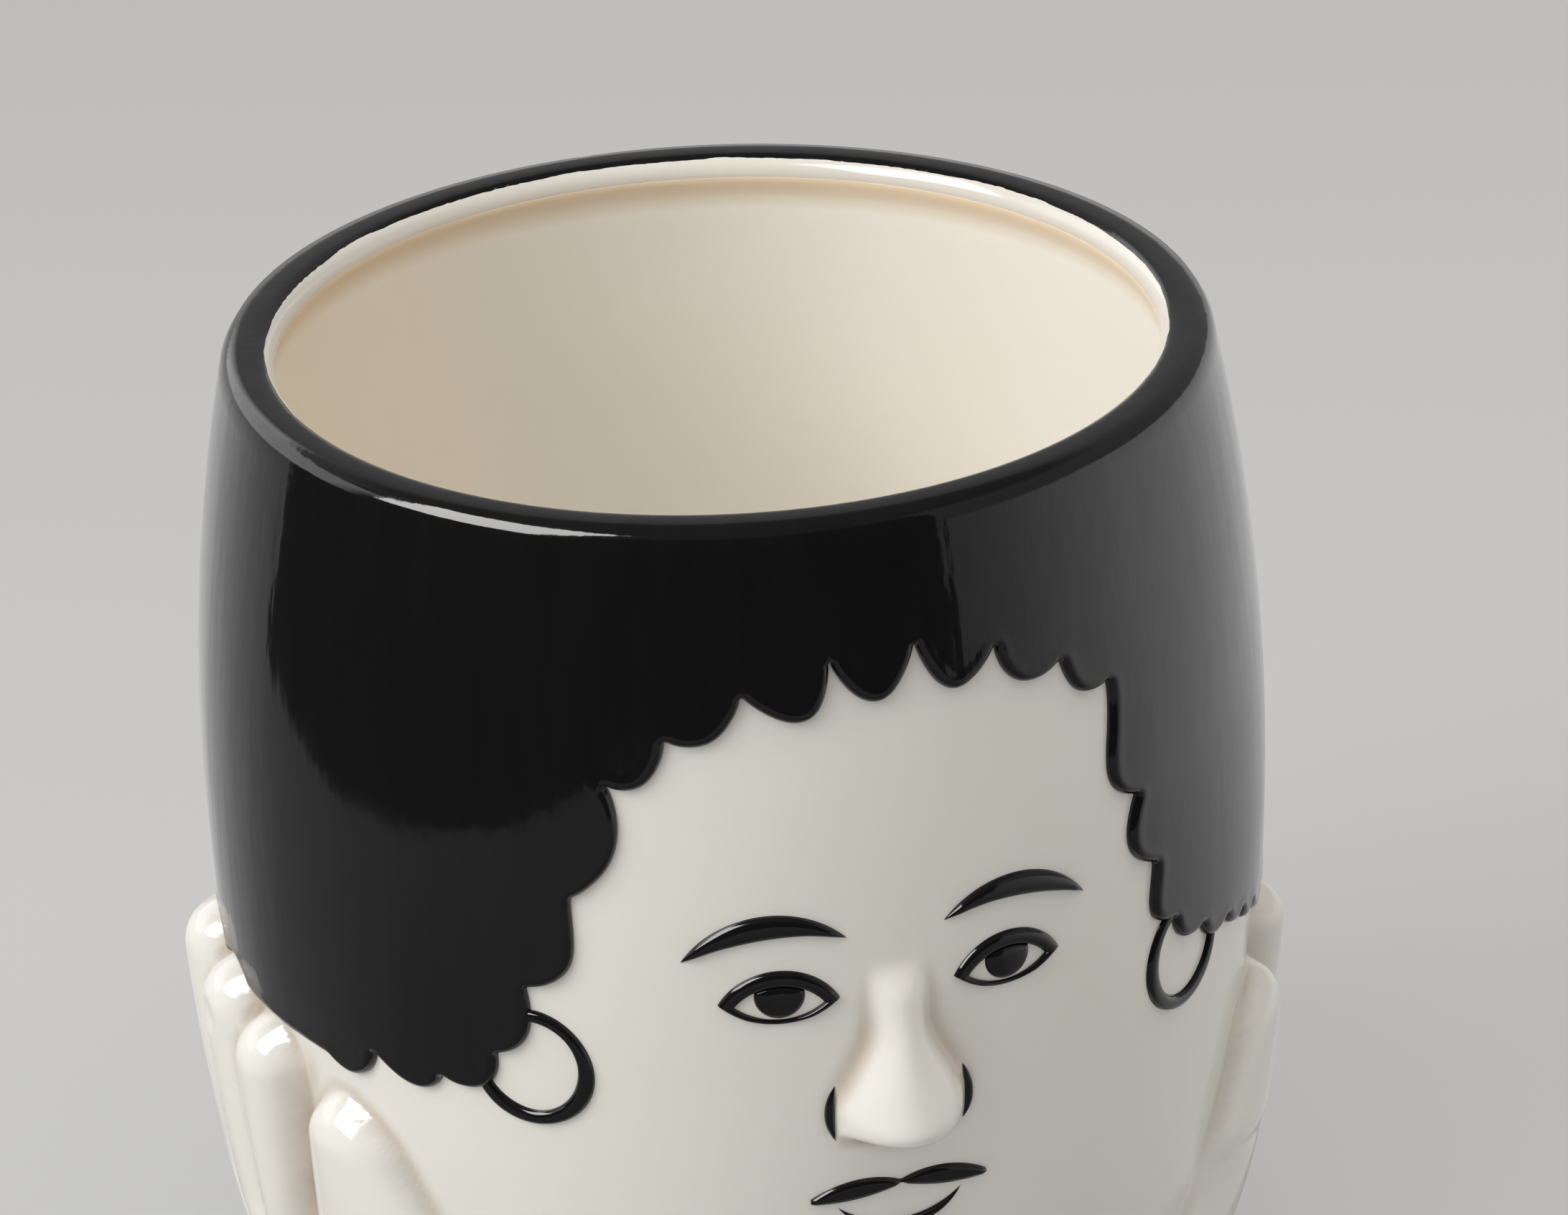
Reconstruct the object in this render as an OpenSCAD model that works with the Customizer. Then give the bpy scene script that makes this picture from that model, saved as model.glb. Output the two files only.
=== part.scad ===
// Round ceramic face planter. A glazed bowl wears a raised black head of hair over its
// rim, a pair of hands in relief holds it from both sides, and a rubber plug closes the
// drain hole in its base. Millimetres, +Z up, the origin on the axis at the foot plane,
// the face towards -Y. Angles round the pot count from the face, 0 at the front.

/* [Pot] */
// Height from the foot to the top of the rim
pot_h = 168; // [160:1:180]
// Outer radius of the white wall at the belly
belly_r = 79; // [76:0.5:84]
// Height of the belly above the foot
belly_z = 100; // [95:1:104]
// Radius of the long arc from the belly up to the rim
upper_arc = 306; // [270:1:360]
// Radius of the long arc from the belly down to the knee
lower_arc = 420; // [360:1:500]
// Height where the lower arc turns in towards the foot
knee_z = 38; // [36:1:42]
// Radius of the knee between the wall and the foot
knee_arc = 62; // [58:1:68]
// Thickness of the wall
wall_t = 5.5; // [5:0.25:6]
// Thickness of the base
base_t = 6; // [5:0.5:8]
// Thickness of the cream glaze inside
glaze_t = 0.8; // [0.6:0.1:1]

/* [Rim] */
// Width of the lip, from the wall in to its bead
lip_w = 6.4; // [6:0.1:7]
// Radius of the rounded bead on the inside of the lip
bead_r = 3; // [2.6:0.1:3.2]
// Width of the white bead that shows inside the black band
bead_show = 1.3; // [0.9:0.1:1.6]
// Radius of the outer edge of the rim
edge_r = 2.4; // [1.8:0.1:2.8]

/* [Foot] */
// Step from the wall in to the bare foot ring
foot_inset = 4.6; // [3:0.2:8]
// Width of the foot ring
foot_w = 8; // [6:0.5:10]
// Height of the foot ring
foot_h = 4; // [3:0.5:5]
// Radius of the edges that the ring stands on
foot_edge_r = 1; // [0.5:0.1:1.4]

/* [Drain plug] */
// Radius of the drain hole
drain_r = 8; // [6:0.5:10]
// Radial clearance of the plug's stem in the drain hole
plug_fit = 0.05; // [0.03:0.01:0.1]
// Width of the plug's flange outside the hole
plug_lap = 5; // [4:0.5:7]
// Thickness of the plug's flange
plug_flange_t = 2.5; // [2:0.25:3]
// Radius of the knob that pulls the plug
plug_knob_r = 4; // [3:0.5:5]
// Height of the pull knob above the flange
plug_knob_h = 5; // [4:0.5:7]

/* [Hair] */
// Thickness of the raised black glaze
hair_t = 1.5; // [1.2:0.1:1.8]
// Depth of the lower edge of the hair below the rim
hair_drop = 92; // [88:1:95]
// Depth of the fringe below the rim, at the notches in its middle
fringe_drop = 19; // [17:0.5:24]
// Height of the arch that the fringe makes over the forehead
fringe_arch = 16; // [8:0.5:18]
// Difference in depth between the two ends of the fringe
fringe_slope = 4; // [0:0.5:5]
// Number of curls in the fringe
fringe_curls = 7; // [5:1:8]
// Radius of the largest curl at the temples
curl_r = 7; // [6:0.5:8]
// Radius of the curls along the lower edge at the sides
side_curl_r = 5.6; // [5:0.2:6]
// Radius of the curls along the lower edge at the back
back_curl_r = 8.4; // [7.6:0.1:8.6]

/* [Hands] */
// Half the width of a finger
finger_w = 6.9; // [6.4:0.1:7.2]
// Height of a finger above the wall
finger_h = 7; // [6:0.5:7.5]
// Height of the thumb above the wall
thumb_h = 6; // [5:0.5:7]
// Height of the palm above the wall
palm_h = 4.6; // [4:0.2:5]
// Thickness of the edge of a relief
skin_t = 0.5; // [0.4:0.1:0.8]
// Depth of the left thumb's tip below the hair
left_thumb_drop = 7; // [6:0.5:9]
// Depth of the right thumb's tip below the hair
right_thumb_drop = 12.5; // [10:0.5:13]
// Height of the heel of the hand above the foot
heel_z = 9; // [8:0.5:11]

/* [Face] */
// Height of one third of the face, from hairline to brow, to nose, to chin
third_h = 31; // [29:0.5:32]
// Width of an eye
eye_w = 17; // [15:0.5:18]
// Thickness of the raised black lines
line_t = 1.2; // [1:0.1:1.5]
// Height of the nose's tip above the wall
nose_h = 10; // [8:0.5:11]
// Width of the line round an eye
eye_line_w = 1.5; // [1.2:0.1:1.8]
// Height of an eyebrow at its middle
brow_h = 3.6; // [3:0.1:4.2]

/* [Earrings] */
// Outer radius of a hoop
hoop_r = 9.5; // [8.5:0.1:10]
// Width of the line of a hoop
hoop_w = 2.1; // [1.8:0.1:2.4]

/* [Hidden] */

// Gap between a raised piece and the wall that it sits on
seat = 0.1;
// Gap between neighbouring raised pieces
part_gap = 0.3;
// Overrun of every cutting shape
over = 1;
// A length beyond every outline of the pot
reach = 2 * belly_r;
// Segments of a full turn round the pot, of a long arc and of a small circle
turn_fn = 180;
arc_fn = 720;
small_fn = 48;

// Places and slopes of the long arcs
upper_cx = belly_r - upper_arc;
lower_cx = belly_r - lower_arc;
knee_angle = asin((belly_z - knee_z) / lower_arc);
knee_cx = lower_cx + (lower_arc - knee_arc) * cos(knee_angle);
knee_cz = belly_z - (lower_arc - knee_arc) * sin(knee_angle);

// Levels of the shell, the inside of the lip and the outside of the foot
shell_low_z = foot_h;
floor_z = foot_h + base_t;
shell_top_z = pot_h - hair_t;
lip_in_r = wall_r(shell_top_z) - lip_w;
foot_r = wall_r(shell_low_z) - foot_inset;
bead_cx = lip_in_r + bead_r;
bead_cz = pot_h - bead_r;
band_in_r = lip_in_r + bead_show;

// Radius of the wall at a height, its outward direction and the point that lies grow
// beyond it
function on_knee(z) = z < knee_z;
function arc_cx(z) = z > belly_z ? upper_cx : on_knee(z) ? knee_cx : lower_cx;
function arc_cz(z) = on_knee(z) ? knee_cz : belly_z;
function arc_r(z) = z > belly_z ? upper_arc : on_knee(z) ? knee_arc : lower_arc;
function wall_r(z) = arc_cx(z) + sqrt(pow(arc_r(z), 2) - pow(z - arc_cz(z), 2));
function wall_dir(z) = [wall_r(z) - arc_cx(z), z - arc_cz(z)] / arc_r(z);
function on_wall(a, z, grow) =
    let (p = [wall_r(z), z] + grow * wall_dir(z))
    [p[0] * sin(a), -p[0] * cos(a), p[1]];

function mix(a, b, t) = a + (b - a) * t;
function clamp01(t) = max(0, min(1, t));
function ease(t) = let (c = clamp01(t)) c * c * (3 - 2 * c);
// Height of an elliptic dome, t = 0 at its middle and 1 at its edge
function dome(t) = sqrt(max(0, 1 - t * t));

// Half of the pot's section, from the axis to a curve that lies grow outside the wall
module wall_section(grow, low_z, top_z) {
    knee_top_z = belly_z - (lower_arc + grow) * sin(knee_angle);
    if (top_z > belly_z)
        arc_section(upper_cx, belly_z, upper_arc + grow, max(low_z, belly_z), top_z);
    if (low_z < belly_z)
        arc_section(lower_cx, belly_z, lower_arc + grow, max(low_z, knee_top_z),
            min(top_z, belly_z));
    if (low_z < knee_top_z)
        arc_section(knee_cx, knee_cz, knee_arc + grow, low_z, knee_top_z);
}

// The part of a disc between two levels, on the outer side of the axis
module arc_section(cx, cz, r, low_z, top_z) {
    intersection() {
        translate([cx, cz]) circle(r = r, $fn = arc_fn);
        translate([0, low_z]) square([reach, top_z - low_z]);
    }
}

// Section of the hair: down the wall from the black band on the rim, whose flat top runs
// flush into the inner bead and over a rounded outer edge
band_arc = upper_arc + hair_t;
edge_cz = pot_h - edge_r;
edge_cx = upper_cx + sqrt(pow(band_arc - edge_r, 2) - pow(edge_cz - belly_z, 2));
edge_lean = asin((edge_cz - belly_z) / (band_arc - edge_r));
edge_low_z = edge_cz + edge_r * sin(edge_lean);
band_start_a = acos((band_in_r + seat - bead_cx) / bead_r);
edge_steps = 6;
hair_steps = 10;
function arc_point(cx, cz, r, a) = [cx + r * cos(a), cz + r * sin(a)];
function beyond_wall(z, grow) =
    [arc_cx(z) + sqrt(pow(arc_r(z) + grow, 2) - pow(z - arc_cz(z), 2)), z];

module hair_section(low_z) {
    band_z = shell_top_z + seat;
    polygon(concat([[band_in_r + seat, band_z]],
        [for (i = [0 : edge_steps])
            arc_point(bead_cx, bead_cz, bead_r, mix(band_start_a, 90, i / edge_steps))],
        [for (i = [0 : edge_steps])
            arc_point(edge_cx, edge_cz, edge_r, mix(90, edge_lean, i / edge_steps))],
        [for (i = [1 : hair_steps]) beyond_wall(mix(edge_low_z, low_z, i / hair_steps), hair_t)],
        [for (i = [0 : hair_steps]) beyond_wall(mix(low_z, band_z, i / hair_steps), seat)]));
}

// Section of the shell under the black band, with a rebate for the band at the bead
module shell_section() {
    difference() {
        union() {
            wall_section(0, shell_low_z, shell_top_z);
            intersection() {
                translate([bead_cx, bead_cz]) circle(r = bead_r, $fn = small_fn);
                square([band_in_r, pot_h]);
            }
        }
        cavity_section();
    }
}

// Section of the hollow: the lip's bead overhangs a thinner wall
module cavity_section() {
    difference() {
        union() {
            wall_section(-wall_t, floor_z, bead_cz - bead_r);
            translate([0, bead_cz - bead_r - over])
                square([bead_cx, bead_r + bead_r + over + over]);
        }
        translate([bead_cx, bead_cz]) circle(r = bead_r, $fn = small_fn);
    }
}

// Lets a flat figure, drawn as seen from the front, through to the front half of the pot
module from_front() {
    rotate([90, 0, 0]) linear_extrude(reach) children();
}

// A sheet of the given thickness that lies on the wall
module wall_sheet(thick, low_z, top_z) {
    rotate_extrude($fn = turn_fn)
        difference() {
            wall_section(seat + thick, low_z, top_z);
            wall_section(seat, low_z - over, top_z + over);
        }
}

// A raised line: a flat figure laid on the wall
module line_on_wall(low_z, top_z) {
    intersection() {
        wall_sheet(line_t, low_z, top_z);
        from_front() children();
    }
}

// A cylinder that crosses the wall square to it, at an angle and a height
module radial_rod(a, z, r) {
    rotate([0, 0, a]) translate([0, wall_t - belly_r, z]) rotate([90, 0, 0])
        cylinder(r = r, h = 2 * wall_t, $fn = small_fn);
}

// The bowl with its cavity and the drain hole
module pot_shell() {
    color("whitesmoke")
        difference() {
            rotate_extrude($fn = turn_fn) shell_section();
            translate([0, 0, -over]) cylinder(r = drain_r, h = floor_z + 2 * over, $fn = small_fn);
        }
}

// The bare ring that the pot stands on
module foot_ring() {
    color("tan")
        rotate_extrude($fn = turn_fn)
            union() {
                translate([foot_r - foot_w, foot_edge_r]) square([foot_w, foot_h - foot_edge_r]);
                translate([foot_r - foot_w + foot_edge_r, 0])
                    square([foot_w - 2 * foot_edge_r, foot_edge_r]);
                translate([foot_r - foot_w + foot_edge_r, foot_edge_r])
                    circle(r = foot_edge_r, $fn = small_fn);
                translate([foot_r - foot_edge_r, foot_edge_r])
                    circle(r = foot_edge_r, $fn = small_fn);
            }
}

// The cream glaze that lines the cavity up to the underside of the lip
module interior_glaze() {
    liner_top_z = bead_cz - bead_r;
    color("wheat")
        difference() {
            rotate_extrude($fn = turn_fn)
                difference() {
                    wall_section(-wall_t - seat, floor_z, liner_top_z);
                    wall_section(-wall_t - seat - glaze_t, floor_z + glaze_t, liner_top_z + over);
                }
            translate([0, 0, floor_z - over])
                cylinder(r = drain_r + glaze_t, h = glaze_t + 2 * over, $fn = small_fn);
        }
}

// The hair: its lower edge, and the outline of the face in it, drawn from the front
hair_z = pot_h - hair_drop;
// Curls of each temple, from the fringe down. Each has its reach towards the face as a share
// of the belly radius, the depth of its bottom as a share of the hair's depth, and its corner
// radius as a share of the largest.
left_temple_shares = [[0.483, 0.6, 0.9], [0.548, 0.766, 1], [0.629, 0.9, 0.75],
    [0.687, 0.964, 0.6]];
right_temple_shares = [[0.45, 0.582, 0.86], [0.483, 0.712, 0.75], [0.537, 0.826, 0.5],
    [0.6, 0.876, 0.5], [0.673, 0.92, 0.5], [0.747, 0.935, 0.45], [0.806, 0.952, 0.45]];
face_left_w = left_temple_shares[0][0] * belly_r;
face_right_w = right_temple_shares[0][0] * belly_r;
face_half_w = (face_left_w + face_right_w) / 2;
curl_pitch = 2 * face_half_w / fringe_curls;

// Notches of the fringe along its arch. The curls are widest in the middle.
function notch_share(i) = let (u = 2 * i / fringe_curls - 1) 1.2 * u - 0.2 * pow(u, 3);
function fringe_notch(i) =
    let (u = notch_share(i))
    [(face_right_w - face_left_w) / 2 + face_half_w * u,
        pot_h - fringe_drop - fringe_arch * u * u + fringe_slope * u / 2];

// One temple curl: a corner of the hair with a round lobe that swells out of it
curl_swell_share = 0.14;
module temple_curl(x, z, r) {
    inset = curl_swell_share * r;
    translate([x + r, z + r]) circle(r = r, $fn = small_fn);
    translate([x + inset, z + r]) square([reach, reach]);
    translate([x + r, z + inset]) square([reach, reach]);
}

module temple_curls(grow) {
    for (side = [0, 1], c = side == 1 ? left_temple_shares : right_temple_shares)
        mirror([side, 0])
            temple_curl(c[0] * belly_r - grow, pot_h - c[1] * hair_drop - grow,
                c[2] * curl_r + grow);
}

module fringe_curls_figure() {
    notches = [for (i = [0 : fringe_curls]) fringe_notch(i)];
    polygon(concat([[-reach, pot_h + over], [-reach, notches[0][1]]], notches,
        [[reach, notches[fringe_curls][1]], [reach, pot_h + over]]));
    for (i = [0 : fringe_curls - 1])
        let (middle = (notches[i] + notches[i + 1]) / 2, w = norm(notches[i + 1] - notches[i]))
            translate(middle - [0, 0.1 * w]) circle(r = 0.52 * w, $fn = small_fn);
}

// Angles of the curls that hang from the lower edge of the hair
side_curl_angles = [-62.5, -52.6, 61.5, 73.3, 84, 93.5, 103.5];
back_curl_step_angle = 12.6;
back_curl_first_angle = 123.3;
back_curls = 10;
side_curl_z = hair_z + 0.7 * side_curl_r;
back_curl_z = hair_z + back_curl_r / 3;
// Angles between which the hair's lower edge is level and has no face below it
face_end_angles = [66, 61.3];

module hair_cap() {
    lowest_z = hair_z - 2 * side_curl_r;
    left_w = belly_r * sin(face_end_angles[0]);
    right_w = belly_r * sin(face_end_angles[1]);
    color("dimgray")
        difference() {
            rotate_extrude($fn = turn_fn) hair_section(lowest_z);
            difference() {
                union() {
                    translate([0, 0, lowest_z - over])
                        cylinder(r = reach, h = hair_z - lowest_z + over, $fn = turn_fn);
                    difference() {
                        from_front() translate([-left_w, lowest_z - over])
                            square([left_w + right_w, pot_h - lowest_z]);
                        from_front() fringe_curls_figure();
                    }
                }
                for (a = side_curl_angles)
                    radial_rod(a, side_curl_z, side_curl_r);
                for (i = [0 : back_curls - 1])
                    radial_rod(back_curl_first_angle + i * back_curl_step_angle, back_curl_z,
                        back_curl_r);
                from_front() temple_curls(0);
            }
            for (side = [-1, 1], k = [2 : 5])
                radial_rod(side * (line_high_angles[k] + line_high_angles[k + 1]) / 2,
                    on_side(side, tip_z(k)) - finger_w, finger_w + part_gap);
        }
}

// The hands. Lines that run down each hand divide it into bands: thumb, the cleft behind
// it, and four fingers. Their angles at the fingertips, at the knuckles and at the heel:
line_high_angles = [60, 70, 73.5, 83.5, 93.5, 103.5, 113.5];
line_mid_angles = [48, 74, 75, 83.5, 93.5, 103.5, 112.5];
line_low_angles = [31, 53.5, 56.5, 64.5, 72.5, 80.5, 88.5];
// Columns of facets across each band, and rows of facets down the hand
band_cols = [9, 2, 7, 7, 7, 7];
hand_rows = 22;
// How far each fingertip of the left hand rises above the hair's edge, as a share of a
// finger's width
tip_rise_shares = [0, 0, -0.11, 0.14, 0.36, -0.09];
thumb_z = hair_z - left_thumb_drop;
knuckle_z = mix(heel_z, thumb_z, 0.52);

// Height on a hand that is z on the left hand. The right hand is as low as its thumb.
right_share = (hair_z - right_thumb_drop - heel_z) / (thumb_z - heel_z);
function on_side(side, z) = side < 0 ? z : heel_z + right_share * (z - heel_z);

function tip_z(k) = k == 0 ? thumb_z : hair_z + tip_rise_shares[k] * 2 * finger_w;
function line_angle(k, z) =
    z > knuckle_z
        ? mix(line_mid_angles[k], line_high_angles[k],
            clamp01((z - knuckle_z) / (thumb_z - knuckle_z)))
        : mix(line_low_angles[k], line_mid_angles[k],
            ease((z - heel_z) / (knuckle_z - heel_z)));

// Top of the hand in band k, q = -1 at its front line and 1 at its back line
function tip_top(k, q) = tip_z(k) - finger_w + finger_w * dome(0.985 * q);
function band_top(k, q) =
    k == 1 ? mix(tip_top(0, 1), tip_top(2, 1), (q + 1) / 2) - finger_w / 2 * dome(q) : tip_top(k, q);
function hand_top(k, q) =
    q == 1 && k < 5 ? min(band_top(k, q), band_top(k + 1, -q)) :
    q == -1 && k > 0 ? min(band_top(k, q), band_top(k - 1, -q)) : band_top(k, q);

// Height of the relief above the wall: rounded fingers with domed tips, and a palm that
// carries them and dies out at the heel
function finger_relief(k, q, z) =
    let (past_tip = max(0, z - tip_z(k) + finger_w) / finger_w,
        crease = mix(0.45, 0.985, ease((z - heel_z) / (knuckle_z - heel_z))),
        h = k == 0 ? thumb_h : finger_h)
    k == 1 ? 0 : h * dome(norm([crease * q, past_tip]));
function palm_relief(u, z) =
    palm_h * dome(pow(abs(2 * u - 1), 1.5)) * ease((knuckle_z + finger_w - z) / (2 * finger_w));
function hand_relief(k, q, u, z) =
    let (rise = ease((z - heel_z) / (2.5 * finger_w)), edge = dome(pow(abs(2 * u - 1), 3)))
    max(skin_t, rise * max(palm_relief(u, z), finger_relief(k, q, z) * mix(edge, 1,
        ease((z - knuckle_z) / finger_w))));

// Every column of the hand as [band, place in the band, share across the hand]
function band_start(k) = k == 0 ? 0 : band_start(k - 1) + band_cols[k - 1];
hand_cols = band_start(5) + band_cols[5];
hand_columns = concat(
    [for (k = [0 : 5], i = [0 : band_cols[k] - 1])
        [k, 2 * i / band_cols[k] - 1, (band_start(k) + i) / hand_cols]],
    [[5, 1, 1]]);

function hand_point(side, c, row, raised) =
    let (k = c[0], q = c[1],
        z = mix(heel_z, hand_top(k, q), 1 - pow(1 - row / hand_rows, 1.5)),
        a = mix(line_angle(k, z), line_angle(k + 1, z), (q + 1) / 2))
    on_wall(a, on_side(side, z), raised ? seat + hand_relief(k, q, c[2], z) : seat);

// A closed shell between an outer and an inner grid of points with as many rows
module relief(outer, inner) {
    rows = len(outer);
    cols = len(outer[0]);
    half = rows * cols;
    function at(r, c) = r * cols + c;
    points = [for (grid = [outer, inner], row = grid, p = row) p];
    quads = [for (r = [0 : rows - 2], c = [0 : cols - 2])
        [at(r, c), at(r + 1, c), at(r + 1, c + 1), at(r, c + 1)]];
    rim = concat([for (c = [0 : cols - 1]) at(0, c)], [for (r = [1 : rows - 1]) at(r, cols - 1)],
        [for (c = [cols - 2 : -1 : 0]) at(rows - 1, c)], [for (r = [rows - 2 : -1 : 1]) at(r, 0)]);
    n = len(rim);
    polyhedron(points = points, convexity = 10, faces = concat(
        [for (f = quads) [f[0], f[1], f[2]]],
        [for (f = quads) [f[0], f[2], f[3]]],
        [for (f = quads) [half + f[2], half + f[1], half + f[0]]],
        [for (f = quads) [half + f[3], half + f[2], half + f[0]]],
        [for (i = [0 : n - 1]) [rim[i], rim[(i + 1) % n], half + rim[(i + 1) % n]]],
        [for (i = [0 : n - 1]) [rim[i], half + rim[(i + 1) % n], half + rim[i]]]));
}

module hand(side) {
    relief([for (row = [0 : hand_rows]) [for (c = hand_columns) hand_point(side, c, row, true)]],
        [for (row = [0 : hand_rows]) [for (c = hand_columns) hand_point(side, c, row, false)]]);
}

module right_hand() {
    color("whitesmoke") hand(1);
}

module left_hand() {
    color("whitesmoke") mirror([1, 0, 0]) hand(-1);
}

// The face stands on three equal thirds: hairline to brow, brow to nose, nose to chin. The
// hairline is the mean height of the tips of the fringe.
hairline_z = pot_h - fringe_drop - fringe_arch / 2 - curl_pitch / 2;
brow_z = hairline_z - third_h;
nose_z = brow_z - third_h;
mouth_z = nose_z - third_h / 3;
eye_z = brow_z - 0.26 * third_h;
eye_x = eye_w;

// The nose: a ridge that rises from its root between the eyes to its tip
nose_root_z = brow_z - 0.1 * third_h;
nose_tip_share = 0.84;
nose_rows = 18;
nose_cols = 14;

function nose_half_w(t) = eye_w * mix(0.24, 0.54, ease((t - 0.35) / 0.5));
function nose_ridge(t) =
    nose_h * mix(0.22, 1, pow(t / nose_tip_share, 1.4)) * ease(t / 0.2)
        * dome(max(0, t - nose_tip_share) / (1 - nose_tip_share));
// The wings swell at both sides of the tip
function nose_wing(t, q) =
    0.46 * nose_h * dome(clamp01(abs(t - 0.86) / 0.15)) * dome(clamp01(abs(abs(q) - 0.66) / 0.36));
function nose_point(t, q, raised) =
    let (z = mix(nose_root_z, nose_z, t), x = q * nose_half_w(t),
        h = max(nose_ridge(t) * pow(max(0, 1 - q * q), 0.8), nose_wing(t, q)))
    on_wall(asin(x / wall_r(z)), z, raised ? seat + max(skin_t, h) : seat);

module nose() {
    color("whitesmoke")
        relief([for (r = [nose_rows : -1 : 0]) [for (c = [0 : nose_cols])
            nose_point(r / nose_rows, 2 * c / nose_cols - 1, true)]],
            [for (r = [nose_rows : -1 : 0]) [for (c = [0 : nose_cols])
                nose_point(r / nose_rows, 2 * c / nose_cols - 1, false)]]);
}

// Flat figures of the face. A bow is the piece of a disc above a chord of width w.
function bow_r(w, rise) = (w * w / 4 + rise * rise) / (2 * rise);

module bow(w, rise) {
    intersection() {
        translate([0, rise - bow_r(w, rise)]) circle(r = bow_r(w, rise), $fn = turn_fn);
        translate([-w, 0]) square([2 * w, 2 * w]);
    }
}

// A crescent between two bows on one chord
module crescent(w, rise, thick) {
    difference() {
        bow(w, rise);
        bow(w, rise - thick);
        translate([-w, -over]) square([2 * w, over]);
    }
}

// An almond, pointed at both ends
module almond(w, up, down) {
    intersection() {
        translate([0, up - bow_r(w, up)]) circle(r = bow_r(w, up), $fn = turn_fn);
        translate([0, bow_r(w, down) - down]) circle(r = bow_r(w, down), $fn = turn_fn);
    }
}

module brow_figure() {
    translate([eye_x + 0.1 * eye_w, brow_z]) rotate(-6) crescent(1.36 * eye_w, 1.6 * brow_h, brow_h);
}

module eye_opening(shrink) {
    translate([eye_x, eye_z - shrink / 3])
        almond(eye_w - 3 * shrink, 0.3 * eye_w - 1.4 * shrink, 0.2 * eye_w - 0.8 * shrink);
}

module eye_line_figure() {
    difference() {
        eye_opening(0);
        eye_opening(eye_line_w);
    }
}

module iris_figure() {
    intersection() {
        translate([eye_x, eye_z + 0.06 * eye_w]) circle(r = 0.21 * eye_w, $fn = small_fn);
        eye_opening(eye_line_w + seat);
    }
}

module wing_figure() {
    translate([nose_half_w(1) + part_gap + seat, nose_z + 0.12 * third_h])
        rotate(-90) crescent(0.3 * third_h, eye_line_w + seat, eye_line_w);
}

module upper_lip_figure() {
    for (side = [0, 1])
        mirror([side, 0])
            translate([0.4 * eye_w, mouth_z]) rotate(-7)
                almond(0.86 * eye_w, 0.13 * eye_w, 0.07 * eye_w);
}

module lower_lip_figure() {
    translate([0, mouth_z - 0.13 * eye_w]) rotate(180)
        crescent(1.1 * eye_w, 0.3 * eye_w, 0.1 * eye_w);
}

// Lays a figure of the face on the right side, or on the left side as its mirror image
module face_line(side, low_z, top_z) {
    color("dimgray") mirror([side, 0, 0]) line_on_wall(low_z, top_z) children();
}

module left_brow() {
    face_line(1, brow_z - third_h / 3, brow_z + third_h / 2) brow_figure();
}

module right_brow() {
    face_line(0, brow_z - third_h / 3, brow_z + third_h / 2) brow_figure();
}

module left_eye_line() {
    face_line(1, eye_z - eye_w / 2, eye_z + eye_w / 2) eye_line_figure();
}

module right_eye_line() {
    face_line(0, eye_z - eye_w / 2, eye_z + eye_w / 2) eye_line_figure();
}

module left_iris() {
    face_line(1, eye_z - eye_w / 2, eye_z + eye_w / 2) iris_figure();
}

module right_iris() {
    face_line(0, eye_z - eye_w / 2, eye_z + eye_w / 2) iris_figure();
}

module nose_wings() {
    for (side = [0, 1])
        face_line(side, nose_z - third_h / 4, nose_z + third_h / 2) wing_figure();
}

module upper_lip() {
    face_line(0, mouth_z - eye_w / 2, mouth_z + eye_w / 2) upper_lip_figure();
}

module lower_lip() {
    face_line(0, mouth_z - eye_w, mouth_z) lower_lip_figure();
}

// The hoops hang below the temples and go behind the hair
hoop_angle = 39;
hoop_z = hair_z + hair_drop / 11;

module hoop(side) {
    color("dimgray")
        difference() {
            intersection() {
                wall_sheet(hair_t - seat, hoop_z - 2 * hoop_r, hoop_z + 2 * hoop_r);
                difference() {
                    radial_rod(side * hoop_angle, hoop_z, hoop_r);
                    radial_rod(side * hoop_angle, hoop_z, hoop_r - hoop_w);
                }
            }
            from_front() temple_curls(part_gap);
        }
}

module left_hoop() {
    hoop(-1);
}

module right_hoop() {
    hoop(1);
}

// The rubber plug: a stem in the drain hole, a flange on the glaze and a knob to pull
module drain_plug() {
    flange_z = floor_z + glaze_t + seat;
    flange_r = drain_r + plug_lap;
    top_z = flange_z + plug_flange_t;
    stem_r = drain_r - plug_fit;
    lead_in = base_t / 8;
    stem_z = shell_low_z + lead_in;
    neck_r = plug_knob_r / 2;
    head_t = plug_knob_h / 2;
    head_z = top_z + plug_knob_h - head_t;
    bevel = head_t / 4;
    color("gray")
        rotate_extrude($fn = turn_fn)
            polygon([[0, stem_z], [stem_r - lead_in, stem_z], [stem_r, stem_z + lead_in],
                [stem_r, flange_z], [flange_r, flange_z], [flange_r, top_z - plug_flange_t / 2],
                [flange_r - plug_flange_t, top_z], [neck_r, top_z], [neck_r, head_z],
                [plug_knob_r - bevel, head_z], [plug_knob_r, head_z + bevel],
                [plug_knob_r, head_z + head_t - bevel], [plug_knob_r - bevel, head_z + head_t],
                [0, head_z + head_t]]);
}

pot_shell();
foot_ring();
interior_glaze();
hair_cap();
left_hand();
right_hand();
nose();
nose_wings();
left_brow();
right_brow();
left_eye_line();
right_eye_line();
left_iris();
right_iris();
upper_lip();
lower_lip();
left_hoop();
right_hoop();
drain_plug();
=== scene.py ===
"""Round ceramic face planter: the glaze, the painted hair and face, the floor and the light.

Lengths are in millimetres and angles round the pot in degrees from the middle of the face.
Meshes are scaled to metres when they are made.
"""
import math

import bmesh
import bpy
import numpy as np
from mathutils import Matrix, Vector
from mathutils.geometry import delaunay_2d_cdt
from mathutils.kdtree import KDTree


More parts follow.
